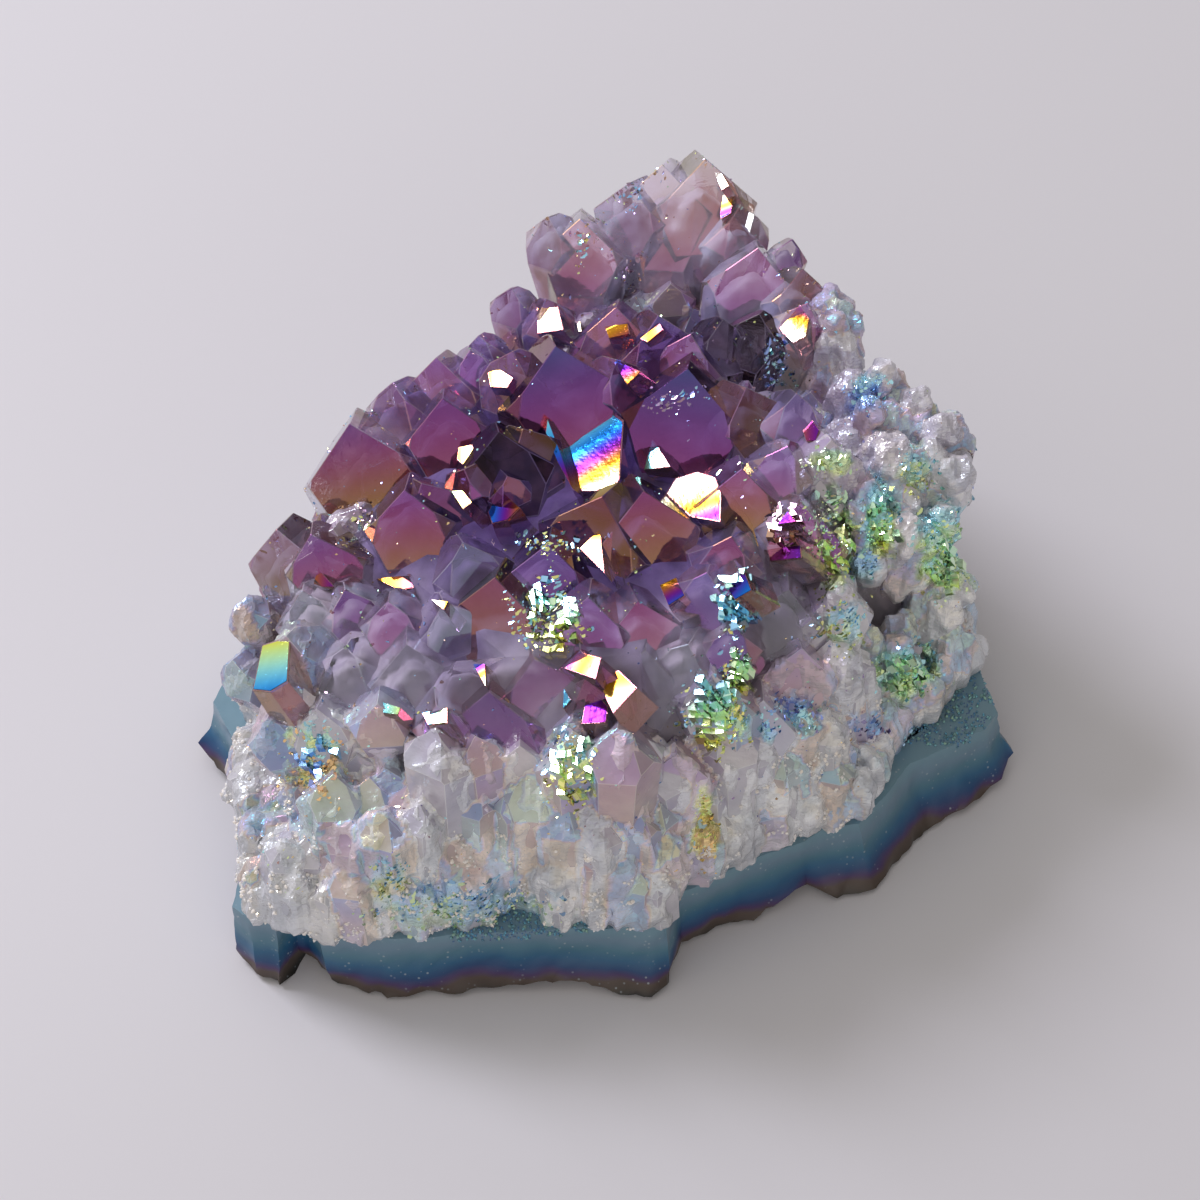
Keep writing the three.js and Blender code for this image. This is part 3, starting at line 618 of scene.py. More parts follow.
def joined(objects):
    """The mesh of one solid from closed solids that overlap."""
    scene = bpy.context.scene.collection
    others = bpy.data.collections.new("to_join")
    base = objects[0]
    scene.objects.link(base)
    for obj in objects[1:]:
        others.objects.link(obj)
    modifier = base.modifiers.new("join", "BOOLEAN")
    modifier.operation = "UNION"
    modifier.operand_type = "COLLECTION"
    modifier.collection = others
    modifier.solver = "MANIFOLD"
    mesh = plain_mesh(base)
    for obj in objects:
        drop(obj)
    bpy.data.collections.remove(others)
    return mesh


# ---------------------------------------------------------------- node trees that shape meshes

def new_tree(name, numbers):
    """A Geometry Nodes tree with a mesh in, a mesh out and these named numbers."""
    tree = bpy.data.node_groups.new(name, "GeometryNodeTree")
    kinds = {float: "NodeSocketFloat", int: "NodeSocketInt", tuple: "NodeSocketVector"}
    tree.interface.new_socket("Mesh", in_out="INPUT", socket_type="NodeSocketGeometry")
    for label, value in numbers.items():
        socket = tree.interface.new_socket(label, in_out="INPUT", socket_type=kinds[type(value)])
        socket.default_value = value
    tree.interface.new_socket("Mesh", in_out="OUTPUT", socket_type="NodeSocketGeometry")
    return tree, tree.nodes.new("NodeGroupInput").outputs, tree.nodes.new("NodeGroupOutput").inputs[0]


def fill(made, values):
    """Sets a node's inputs by value, or links them by socket."""
    for key, value in values.items():
        if isinstance(value, bpy.types.NodeSocket):
            made.id_data.links.new(value, made.inputs[key])
        else:
            made.inputs[key].default_value = value


def node(tree, kind, values=None, **settings):
    """A node with its settings, and with its inputs set by value or linked by socket."""
    made = tree.nodes.new(kind)
    for key, value in settings.items():
        setattr(made, key, value)
    fill(made, values or {})
    return made


def add_tree(obj, tree, values):
    """Puts the tree on the object and sets its named inputs."""
    modifier = obj.modifiers.new(tree.name, "NODES")
    modifier.node_group = tree
    for item in tree.interface.items_tree:
        if item.in_out == "INPUT" and item.name in values:
            modifier[item.identifier] = values[item.name]


def maths(tree, operation, a, b=0.0, c=0.0):
    return node(tree, "ShaderNodeMath", {0: a, 1: b, 2: c}, operation=operation).outputs[0]


def vectors(tree, operation, a, b=(0, 0, 0)):
    return node(tree, "ShaderNodeVectorMath", {0: a, 1: b}, operation=operation).outputs


def compare(tree, operation, a, b):
    return node(tree, "FunctionNodeCompare", {0: a, 1: b}, operation=operation).outputs[0]


def mapped(tree, value, low, high, to_low, to_high):
    return node(tree, "ShaderNodeMapRange", {0: value, 1: low, 2: high, 3: to_low, 4: to_high}).outputs[0]


def noise_at(tree, place, scale, detail):
    values = {"Vector": place, "Scale": scale, "Detail": detail}
    return node(tree, "ShaderNodeTexNoise", values).outputs["Fac"]


def cells_at(tree, place, scale):
    return node(tree, "ShaderNodeTexVoronoi", {"Vector": place, "Scale": scale}).outputs["Distance"]


def relief_tree():
    """Pushes a surface in and out: lumps, sharp ridges between them and fine pits."""
    tree, given, end = new_tree("etched_relief", {
        "Lump Size": 0.004, "Lump Height": 0.0006, "Ridge Size": 0.0015, "Ridge Height": 0.0003,
        "Grain Size": 0.0006, "Grain Height": 0.0001, "Upright": 1.0,
        "Sink": 0.0, "Sink From": 0.0, "Sink To": 0.02, "Rough From": 1.0,
    })
    where = node(tree, "GeometryNodeInputPosition").outputs[0]
    x, y, z = node(tree, "ShaderNodeSeparateXYZ", {0: where}).outputs
    squeezed = maths(tree, "MULTIPLY", z, given["Upright"])
    place = node(tree, "ShaderNodeCombineXYZ", {0: x, 1: y, 2: squeezed}).outputs[0]
    total = 0.0
    for label in ("Lump", "Ridge", "Grain"):
        scale = maths(tree, "DIVIDE", 1.0, given[label + " Size"])
        if label == "Ridge":
            centred = maths(tree, "SUBTRACT", cells_at(tree, place, scale), 0.35)
        else:
            centred = maths(tree, "SUBTRACT", noise_at(tree, place, scale, 2.0), 0.5)
        total = maths(tree, "ADD", total, maths(tree, "MULTIPLY", centred, given[label + " Height"]))
    deeper = mapped(tree, z, given["Sink From"], given["Sink To"], 0.0, given["Sink"])
    keeps = maths(tree, "LESS_THAN", x, given["Rough From"])
    total = maths(tree, "SUBTRACT", total, maths(tree, "MULTIPLY", deeper, keeps))
    normal = node(tree, "GeometryNodeInputNormal").outputs[0]
    move = node(tree, "ShaderNodeVectorMath", {0: normal, "Scale": total}, operation="SCALE").outputs[0]
    above = compare(tree, "GREATER_THAN", z, 0.0)
    values = {"Geometry": given["Mesh"], "Selection": above, "Offset": move}
    tree.links.new(node(tree, "GeometryNodeSetPosition", values).outputs[0], end)
    return tree


def grain_places(tree, given):
    """Where grains may grow: in patches, between two levels and near either of two places."""
    place = node(tree, "GeometryNodeInputPosition").outputs[0]
    z = node(tree, "ShaderNodeSeparateXYZ", {0: place}).outputs["Z"]
    patch = noise_at(tree, place, maths(tree, "DIVIDE", 1.0, given["Patch Size"]), 1.0)
    places = (given["First Place"], given["Second Place"])
    away = [vectors(tree, "DISTANCE", place, other)["Value"] for other in places]
    wanted = compare(tree, "GREATER_THAN", patch, given["Patch Cover"])
    for other in (
        compare(tree, "LESS_THAN", z, given["Ceiling"]),
        compare(tree, "GREATER_THAN", z, given["Bottom"]),
        compare(tree, "LESS_THAN", maths(tree, "MINIMUM", *away), given["Reach"]),
    ):
        wanted = node(tree, "FunctionNodeBooleanMath", {0: wanted, 1: other}, operation="AND").outputs[0]
    return wanted


def grain_shape(tree):
    """A six-sided crystal, pointed at both ends."""
    values = {"Vertices": 6, "Radius Bottom": 1.0, "Radius Top": 0.0, "Depth": 1.2}
    cone = node(tree, "GeometryNodeMeshCone", values, fill_type="NONE").outputs["Mesh"]
    upper = node(tree, "GeometryNodeTransform", {"Geometry": cone, "Translation": (0, 0, 0.5)})
    lower = node(tree, "GeometryNodeTransform", {
        "Geometry": cone, "Translation": (0, 0, -0.5), "Rotation": (math.pi, 0, 0),
    })
    values = {"Vertices": 6, "Radius": 1.0, "Depth": 1.0}
    prism = node(tree, "GeometryNodeMeshCylinder", values, fill_type="NONE")
    whole = node(tree, "GeometryNodeJoinGeometry")
    for part in (upper, lower, prism):
        tree.links.new(part.outputs[0], whole.inputs[0])
    values = {"Geometry": whole.outputs[0], "Distance": 0.001}
    return node(tree, "GeometryNodeMergeByDistance", values).outputs[0]


def random_number(tree, given, low, high):
    """A number between two of the tree's own, for each grain."""
    values = {2: given[low], 3: given[high], "Seed": given["Seed"]}
    return node(tree, "FunctionNodeRandomValue", values, data_type="FLOAT").outputs[1]


def grain_tree(material):
    """Scatters small crystals over a surface."""
    tree, given, end = new_tree("scattered_grains", {
        "Density": 1.0e6, "Smallest": 0.0002, "Largest": 0.0005, "Thinnest Film": 80.0,
        "Thickest Film": 220.0, "Spacing": 0.0004, "Patch Size": 0.004, "Patch Cover": 0.5,
        "Bottom": 0.0, "Ceiling": 1.0, "First Place": (0.0, 0.0, 0.0), "Second Place": (0.0, 0.0, 0.0),
        "Reach": 1.0, "Seed": 1,
    })
    points = node(tree, "GeometryNodeDistributePointsOnFaces", {
        "Mesh": given["Mesh"], "Selection": grain_places(tree, given),
        "Distance Min": given["Spacing"], "Density Max": given["Density"], "Seed": given["Seed"],
    }, distribute_method="POISSON").outputs
    film = random_number(tree, given, "Thinnest Film", "Thickest Film")
    stored = node(tree, "GeometryNodeStoreNamedAttribute", {
        "Geometry": points["Points"], "Name": "film", "Value": film,
    }, data_type="FLOAT", domain="POINT").outputs[0]
    turned = node(tree, "FunctionNodeRandomValue", {
        0: (-0.9, -0.9, -3.2), 1: (0.9, 0.9, 3.2), "Seed": given["Seed"],
    }, data_type="FLOAT_VECTOR").outputs[0]
    tilted = node(tree, "FunctionNodeRotateRotation", {
        "Rotation": points["Rotation"], "Rotate By": turned,
    }, rotation_space="LOCAL").outputs[0]
    made = node(tree, "GeometryNodeInstanceOnPoints", {
        "Points": stored, "Instance": grain_shape(tree), "Rotation": tilted,
        "Scale": random_number(tree, given, "Smallest", "Largest"),
    }).outputs[0]
    made = node(tree, "GeometryNodeRealizeInstances", {"Geometry": made}).outputs[0]
    made = node(tree, "GeometryNodeSetShadeSmooth", {"Geometry": made, "Shade Smooth": False}).outputs[0]
    made = node(tree, "GeometryNodeSetMaterial", {"Geometry": made, "Material": material}).outputs[0]
    tree.links.new(made, end)
    return tree


# ---------------------------------------------------------------- crown of clear points

def crown_rows(milky):
    """The clear or the milky points of the crown, as (tip, axis, width, turn, number)."""
    rows = []
    for number, (x, y, z, width, lean_x, lean_y, turn) in enumerate(CROWN):
        if (z < MILKY_BELOW or x > MILKY_RIGHT) == milky:
            rows.append((np.array([x, y, z], float), leaning(lean_x, lean_y), width, turn, number))
    return rows


def satellite_rows(rows):
    """Smaller crystals grown on the sides of the larger ones, nearly parallel to them."""
    made = []
    for tip, axis, width, turn, number in rows:
        for k in range(3 if width >= LARGE_WIDTH else 2):
            seed = SATELLITE_SEED + 5 * number + k
            small = width * spread(seed, 1, *SIDE_WIDTH)
            outwards = facing(axis, turn + spread(seed, 2, -170, 170))
            below = width * spread(seed, 3, *SIDE_BELOW)
            aside = width / 2 * spread(seed, 4, *SIDE_ASIDE)
            place = tip - axis * below + outwards * aside
            lean = unit(axis + outwards * spread(seed, 5, *SIDE_LEAN))
            if place[2] < HIGHEST:
                made.append((place, lean, small, turn + spread(seed, 6, -25, 25), seed))
    return made


def floor_plane(tip, axis, width, floor):
    """Where a crystal is cut off: at a level, or square to itself if there is none."""
    if floor is None:
        return -axis, -axis @ (tip - axis * CRYSTAL_LENGTH * width)
    return np.array([0.0, 0.0, -1.0]), -floor


def point_look(tip, number, film):
    """A point's film at its tip, how it falls down the point, and how dark the point is."""
    dark = POINT_TONES.get(number, 0.0)
    if film is RIND_FILM and share(number, KIND_DRAW) < PALE_SHARE:
        return PALE_FILM, PALE_FALL, dark
    if number in POINT_FILMS:
        top, fall = POINT_FILMS[number]
        return (top - FILM_SPREAD, top + FILM_SPREAD), fall, dark
    if film is not CROWN_FILM or tip[1] >= FRONT_BEFORE:
        return film, None, dark
    if share(number, KIND_DRAW) < SILVER_SHARE:
        return SILVER_FILM, SILVER_FALL, SILVER_TONE
    return VIOLET_FILM, VIOLET_FALL, dark


def crystals_of(rows, film, edge, floor):
    """Solids of these crystals, under this film unless their own look says otherwise."""
    made = []
    for tip, axis, width, turn, number in rows:
        planes = crystal_planes(tip, axis, width, turn, number, floor_plane(tip, axis, width, floor))
        own, fall, dark = point_look(tip, number, film)
        made.append(crystal(planes, tip, axis, number, own, edge, fall, dark, width >= LARGE_WIDTH))
    return made


def standing(rows, edge, floor, back_floor):
    """Clear crystals cut off at floor, or at back_floor at the back, where nothing hides their roots."""
    back = [row for row in rows if row[0][1] > BACK_FROM]
    rest = [row for row in rows if row[0][1] <= BACK_FROM]
    return crystals_of(back, CROWN_FILM, edge, back_floor) + crystals_of(rest, CROWN_FILM, edge, floor)


def make_crown(material):
    """The clear points."""
    large = crown_rows(False)
    solids = standing(large, EDGE_WIDTH, CLEAR_FLOOR, MATRIX_TOP - ROOT_SINK)
    solids += crystals_of(satellite_rows(large), CROWN_FILM, EDGE_WIDTH / 2, None)
    solids.append(loft("clear_middle", core_loops(0, CLEAR_FLOOR)))
    return add_piece("amethyst_points", joined(solids), material)


def scaled_plan(x, y, size):
    """A plan point drawn in towards the middle of the plan tables."""
    cx, cy = PLAN_SHIFT
    return cx + (x - cx) * size, cy + (y - cy) * size


def core_loops(sink, lowest):
    """Levels of the middle of the druse, where its crystals have grown into one mass."""
    return [
        [(*scaled_plan(x, y, size), max(lowest, min(MATRIX_TOP + (h - MATRIX_TOP) * rise, limit) - sink))
         for x, y, h in FOOT]
        for size, rise, limit in CORE_LEVELS
    ]


# ---------------------------------------------------------------- milky columns and cloudy heart

def inset_foot(inset):
    """The foot's outline moved inwards, with the outward direction at each point."""
    made = []
    for i, (x, y, height) in enumerate(FOOT):
        before, after = FOOT[i - 1], FOOT[(i + 1) % len(FOOT)]
        out = unit([after[1] - before[1], before[0] - after[0], 0.0])
        made.append((np.array([x, y, 0.0]) - out * (inset + FOOT_RECESS.get(i, 0.0)), height, out))
    return made


def along_foot(inset, spacing, seed):
    """Places along the foot at uneven steps: point, direction of the edge, way out and height."""
    line = inset_foot(inset)
    left = spacing / 2
    made = []
    for i, (start, height, out) in enumerate(line):
        finish, next_height, _ = line[(i + 1) % len(line)]
        run = np.linalg.norm(finish - start)
        while left < run:
            t = left / run
            place = start + (finish - start) * t
            made.append((place, unit(finish - start), out, height + (next_height - height) * t))
            left += spacing * spread(seed + len(made), 6, 0.8, 1.2)
        left -= run
    return made


def column_rows():
    """Columns that lean inwards round the broken sides, spaced evenly along each row."""
    made = []
    for ring, (low_inset, high_inset, rise, highest, spacing, width) in enumerate(COLUMN_ROWS):
        first = COLUMN_SEED + ROW_SEEDS * ring
        for seed, (place, edge, out, height) in enumerate(along_foot(low_inset, spacing, first), first):
            tall = (height - MATRIX_TOP) * rise * spread(seed, 1, 0.7, 1.15)
            foot = place - out * spread(seed, 3, -0.6, 0.9)
            foot[2] = MATRIX_TOP
            tip = foot - out * (high_inset - low_inset) + edge * spread(seed, 2, -1.0, 1.0)
            tip[2] = min(MATRIX_TOP + tall, highest * spread(seed, 7, 0.9, 1.0))
            wide = width * spread(seed, 4, 0.72, 1.3)
            made.append((tip, unit(tip - foot), wide, spread(seed, 5, 0, 60), seed))
    return made


def foot_lobes(left, right):
    """Rounded ends of broken columns that hang over the matrix, between these values of X."""
    made = []
    for seed, (place, _, out, _) in enumerate(along_foot(0.2, LOBE_SPACING, LOBE_SEED), LOBE_SEED):
        wide = spread(seed, 1, *LOBE_WIDTH)
        tall = spread(seed, 2, *LOBE_HEIGHT)
        reach = RIGHT_REACH if place[0] > ROUGH_RIGHT else LEFT_REACH
        centre = place - out * (wide - reach + spread(seed, 3, -0.3, 0.8))
        centre[2] = MATRIX_TOP - LOBE_SINK + tall * spread(seed, 4, 0.75, 0.95)
        if left <= centre[0] < right:
            bm = bmesh.new()
            bmesh.ops.create_icosphere(bm, subdivisions=2, radius=1.0)
            bmesh.ops.scale(bm, vec=(wide, wide, tall), verts=bm.verts[:])
            bmesh.ops.translate(bm, vec=centre, verts=bm.verts[:])
            made.append(finish_bmesh("lobe", bm))
    return made


def together(objects):
    """One mesh of all these, not joined into one solid."""
    whole = bmesh.new()
    for obj in objects:
        whole.from_mesh(obj.data)
        drop(obj)
    mesh = bpy.data.meshes.new("together")
    whole.to_mesh(mesh)
    whole.free()
    return mesh


def remeshed(mesh, voxel, relief, values):
    """The mesh rebuilt in even cells and etched."""
    obj = placed("remesh", mesh)
    cells = obj.modifiers.new("cells", "REMESH")
    cells.mode = "VOXEL"
    cells.voxel_size = voxel * MM
    cells.use_smooth_shade = True
    add_tree(obj, relief, values)
    made = plain_mesh(obj)
    drop(obj)
    return made


def search_tree(mesh):
    return BVHTree.FromPolygons([v.co for v in mesh.vertices], [f.vertices[:] for f in mesh.polygons])


def store(mesh, label, values):
    """Gives each vertex a number."""
    mesh.attributes.new(label, "FLOAT", "POINT").data.foreach_set("value", values)


def carry_film(target, source):
    """Gives each vertex of target the film thickness of the nearest face of source."""
    film = np.zeros(len(source.loops))
    source.attributes["film"].data.foreach_get("value", film)
    starts = [p.loop_start for p in source.polygons]
    totals = [p.loop_total for p in source.polygons]
    mean = np.add.reduceat(film, starts) / np.array(totals)
    tree = search_tree(source)
    store(target, "film", [mean[tree.find_nearest(v.co)[2]] for v in target.vertices])


def make_columns(material):
    """The milky columns and points, with flat faces."""
    large = [row for row in crown_rows(True) if row[0][0] < ROUGH_RIGHT]
    narrow = [row for row in column_rows() if row[0][0] < ROUGH_RIGHT]
    for seed, (x, y, z, width, lean_x, lean_y, turn) in enumerate(moved(BACK_COLUMNS), BACK_SEED):
        narrow.append((np.array([x, y, z]), leaning(lean_x, lean_y), width, turn, seed))
    solids = crystals_of(narrow + large, RIND_FILM, MILKY_EDGE, MATRIX_TOP - ROOT_SINK)
    solids += crystals_of(satellite_rows(large), RIND_FILM, MILKY_EDGE / 2, None)
    return add_piece("milky_columns", joined(solids), material)


def bundle_rows(rows):
    """Each of these points split into a bundle of thinner ones."""
    made = []
    for tip, axis, width, turn, number in rows:
        for k in range(BUNDLE):
            seed = BUNDLE_SEED + 10 * number + k
            outwards = facing(axis, turn + 360 * k / BUNDLE + spread(seed, 1, -25, 25))
            aside = width * spread(seed, 2, *BUNDLE_ASIDE) if k else 0
            below = width * spread(seed, 3, *BUNDLE_BELOW) if k else 0
            lean = unit(axis + outwards * spread(seed, 4, *BUNDLE_LEAN))
            place = tip - axis * below + outwards * aside
            made.append((place, lean, width * spread(seed, 5, *BUNDLE_WIDTH), spread(seed, 6, 0, 60), seed))
    return made


def etched(name, sources, lobes, voxel, relief, material):
    """These solids and lobes as one etched and broken mass."""
    source = together(sources)
    shapes = bpy.data.objects.new("shapes", source.copy())
    mesh = remeshed(together([shapes] + lobes), voxel, relief, ETCHED_RELIEF)
    mesh.shade_flat()
    carry_film(mesh, source)
    bpy.data.meshes.remove(source)
    return add_piece(name, mesh, material)


def make_rough(material, relief, columns):
    """Etched and broken quartz here and there through the columns."""
    shell = bpy.data.objects.new("shell", columns.data.copy())
    lobes = foot_lobes(-math.inf, ROUGH_RIGHT)
    return etched("etched_quartz", [shell], lobes, ROUGH_VOXEL, relief, material)


def make_right_lobe(material, relief):
    """The right side, which is etched all over."""
    right = [row for row in crown_rows(True) + column_rows() if row[0][0] >= ROUGH_RIGHT]
    solids = crystals_of(bundle_rows(right), RIND_FILM, 0, MATRIX_TOP - ROOT_SINK)
    lobes = foot_lobes(ROUGH_RIGHT - SIDE_OVERLAP, math.inf)
    return etched("etched_side", solids, lobes, SIDE_VOXEL, relief, material)


def make_heart(material, relief):
    """The cloudy roots inside the clear points."""
    roots = [
        (tip - axis * width * HEART_SINK, axis, width * HEART_WIDTH, turn, number)
        for tip, axis, width, turn, number in crown_rows(False)
        if POINT_TONES.get(number, 0) < HEART_TONE
    ]
    solids = standing(roots, 0, HEART_FLOOR, MATRIX_TOP + ROOT_SINK)
    solids.append(loft("heart_middle", core_loops(HEART_CORE, HEART_FLOOR)))
    return add_piece("cloudy_heart", remeshed(joined(solids), HEART_VOXEL, relief, HEART_RELIEF), material)


# ---------------------------------------------------------------- matrix

def matrix_rows():
    """The rows of the edge with others added between them, each with its way out."""
    rows = []
    for i, row in enumerate(MATRIX_EDGE):
        after = MATRIX_EDGE[(i + 1) % len(MATRIX_EDGE)]
        run = math.hypot(after[0] - row[0], after[1] - row[1])
        out = ((after[1] - row[1]) / run, (row[0] - after[0]) / run)
        steps = max(1, round(run / MATRIX_STEP))
        for k in range(steps):
            rows.append((np.array(row) + (np.array(after) - np.array(row)) * k / steps, out))
    return rows


def matrix_point(row, level):
    """A point on the plate's side: level 0 is the chipped lower edge and 1 the top."""
    x, y, dx, dy, chip = row
    chip = chip * (0.6 + 0.8 * abs(noise.noise(Vector((x, y, 3)) * 0.4)))
    middle = (MATRIX_MIDDLE - chip) / (MATRIX_TOP - chip)
    if level < middle:
        over = 1 + (MIDDLE_OVERHANG - 1) * level / middle
    else:
        over = MIDDLE_OVERHANG * (1 - level) / (1 - middle)
    return x + dx * over, y + dy * over, chip + (MATRIX_TOP - chip) * level


def weathered(point, out):
    """The point moved in or out by broad waves, ripples and the chips of the lower edge."""
    spot = Vector(point)
    low = max(0.0, 1 - point[2] / MATRIX_CHIPS)
    waves = 0.4 * noise.noise(spot * 0.13) + 0.22 * noise.noise(spot * 0.5)
    shift = waves + 0.1 * noise.noise(spot * 1.6) - MATRIX_WORN
    shift -= low * (1.1 * abs(noise.noise(spot * 0.33)) + 0.5 * abs(noise.noise(spot * 0.9)))
    return point[0] + out[0] * shift, point[1] + out[1] * shift, point[2]


def make_matrix(material):
    """The plate, with a flat underside and a flat top."""
    rows = matrix_rows()
    loops = []
    for k in range(MATRIX_LEVELS):
        level = k / (MATRIX_LEVELS - 1)
        loops.append([weathered(matrix_point(row, level), out) for row, out in rows])
    underside = []
    for x, y, _ in loops[0]:
        inward = unit([x, y, 0.0]) * UNDERSIDE_INSET
        underside.append((x - inward[0], y - inward[1], 0.0))
    ledge = [[(*scaled_plan(x, y, size), MATRIX_TOP) for x, y, _ in loops[-1]] for size in LEDGE_RINGS]
    obj = loft("plate", [underside] + loops + ledge)
    mesh = obj.data
    mesh.shade_smooth()
    mesh.set_sharp_from_angle(angle=math.radians(MATRIX_SHARP))
    return add_piece("banded_matrix", mesh, material)


# ---------------------------------------------------------------- pieces placed from the camera

def view_ray(right, up):
    """The camera's place and the direction to a point of its view plane, in millimetres."""
    h = math.radians(CAMERA_HEIGHT)
    back = np.array([0.0, -math.cos(h), math.sin(h)])
    across = np.array([1.0, 0.0, 0.0])
    target = np.array(CAMERA_TARGET)
    eye = target + back * CAMERA_DISTANCE
    return eye, unit(target + across * right + np.cross(back, across) * up - eye)


class Surface:
    """What the camera sees of some pieces, for placing others on it."""

    def __init__(self, pieces):
        self.trees = [search_tree(piece.data) for piece in pieces]

    def hit(self, right, up):
        """The quartz at this point of the view: its place, its way out and the way to the camera."""
        eye, way = view_ray(right, up)
        found = [t.ray_cast(Vector(eye * MM), Vector(way)) for t in self.trees]
        found = [f for f in found if f[0] is not None]
        if not found:
            return None
        place, normal, _, _ = min(found, key=lambda f: f[3])
        return np.array(place) / MM, np.array(normal), -way


def flash_frame(surface, corners, turn_off, number, lift):
    """A plane on the quartz that mirrors the lamp: its normal and the corners of the face on it."""
    middle = np.mean(corners, axis=0)
    found = surface.hit(*middle)
    if found is None:
        return None, None
    place, _, to_camera = found
    around = share(number, 1) * 2 * math.pi
    off = np.array([math.cos(around), math.sin(around) * 0.7, math.sin(around) * 0.7]) * turn_off
    normal = unit(unit(unit(KEY_DIRECTION) + to_camera) + off)
    around_it = [surface.hit(*(middle + (np.array(corner) - middle) * 0.8)) for corner in corners]
    levels = sorted(normal @ hit[0] for hit in around_it if hit is not None)
    size = max(math.dist(corner, middle) for corner in corners)
    low = normal @ place + lift
    high = low + FLASH_GAP + FLASH_RISE[size > FLASH_LARGE] * size
    level = min(max(low, levels[-1] + FLASH_GAP), high) if levels else low
    points = []
    for right, up in corners:
        eye, way = view_ray(right, up)
        points.append(eye + way * ((level - normal @ eye) / (normal @ way)))
    return normal, np.array(points)


def flash_point(k, normal, points):
    """The clear point behind a flashing face."""
    middle = points.mean(0)
    size = np.linalg.norm(points - middle, axis=1).max()
    root = middle + (points - middle) * (1 + FLASH_ROOT / size) - normal * (FLASH_DEPTH + size * 0.6)
    body = hull_of(np.round(np.concatenate([points, root]), 3))
    bmesh.ops.recalc_face_normals(body, faces=body.faces[:])
    film_layer = body.loops.layers.float.new("film")
    tone = body.faces.layers.float.new("tone")
    for face in body.faces:
        # Random tones on the faces: painted shade.
        face[tone] = FLASH_TONE * share(k, 5)
        for loop in face.loops:
            loop[film_layer] = FLASH_FILM
    return finish_bmesh("flash", body)


def flash_cap(corners, film, angle, normal, points, depth):
    """The coated cap of a flashing face."""
    middle = points.mean(0)
    cap = bmesh.new()
    cap_film = cap.verts.layers.float.new("film")
    shade = cap.verts.layers.float.new("shade")
    way = np.array([math.cos(math.radians(angle)), math.sin(math.radians(angle))])
    runs = np.array(corners) @ way
    runs = (runs - runs.min()) / (runs.max() - runs.min())
    rings = []
    for lift in (CAP_PROUD, -depth):
        ring = [cap.verts.new(middle + (p - middle) * CAP_SIZE + normal * lift) for p in points]
        for vert, t in zip(ring, runs):
            vert[cap_film] = film[0] + (film[1] - film[0]) * t
            vert[shade] = 1.0
        rings.append(ring)
    top, root = rings
    cap.faces.new(top)
    cap.faces.new(reversed(root))
    for face in between_rings(top, root):
        cap.faces.new(face)
    bmesh.ops.recalc_face_normals(cap, faces=cap.faces[:])
    return finish_bmesh("cap", cap)


def crackle_rows():
    """Small facets side by side in ragged patches, as rows like those of FLASH_FACES."""
    rows = []
    for patch, (right, up, wide, high, films, kept) in enumerate(CRACKLES):
        first = CRACKLE_SEED + PATCH_SEEDS * patch
        across, along = round(wide / CRACKLE_CELL), round(high / CRACKLE_CELL)
        for i, j in itertools.product(range(across), range(along)):
            seed = first + CRACKLE_LINE * i + j
            u, v = (i + 0.5) / across - 0.5, (j + 0.5) / along - 0.5
            if math.hypot(u, v) > spread(seed, 1, 0.36, 0.56) or share(seed, 2) > kept:
                continue
            corners = []
            for a, b in ((i, j), (i + 1, j), (i + 1, j + 1), (i, j + 1)):
                grid = first + CRACKLE_LINE * a + b
                x = (a + spread(grid, 3, -CRACKLE_UNEVEN, CRACKLE_UNEVEN)) / across - 0.5
                y = (b + spread(grid, 4, -CRACKLE_UNEVEN, CRACKLE_UNEVEN)) / along - 0.5
                corners.append((right + x * wide, up + y * high))
            film = films[0] + (films[1] - films[0]) * (0.5 - v) + spread(seed, 5, -7, 7)
            rows.append((corners, (film, film + 5), 0, spread(seed, 6, *CRACKLE_TURN)))
    return rows


def make_flashes(surface, clear, coated):
    """Small points whose faces stand square to the halfway direction between lamp and camera."""
    bodies, caps = [], []
    for k, (corners, film, angle, turn_off) in enumerate(FLASH_FACES):
        normal, points = flash_frame(surface, corners, turn_off, k, FLASH_LIFT)
        if normal is not None:
            bodies.append(flash_point(k, normal, points))
            caps.append(flash_cap(corners, film, angle, normal, points, CAP_DEPTH))
    clear_points = add_piece("flashing_points", together(bodies), clear)
    return clear_points, add_piece("aura_mirrors", together(caps), coated)


def make_crackle(surface, material):
    """Crackled film as a mosaic of small bright facets."""
    caps = []
    for seed, (corners, film, angle, turn_off) in enumerate(crackle_rows(), FACET_SEED):
        normal, points = flash_frame(surface, corners, turn_off, seed, CRACKLE_LIFT)
        if normal is not None:
            caps.append(flash_cap(corners, film, angle, normal, points, CRACKLE_DEPTH))
    return add_piece("aura_crackle", together(caps), material)


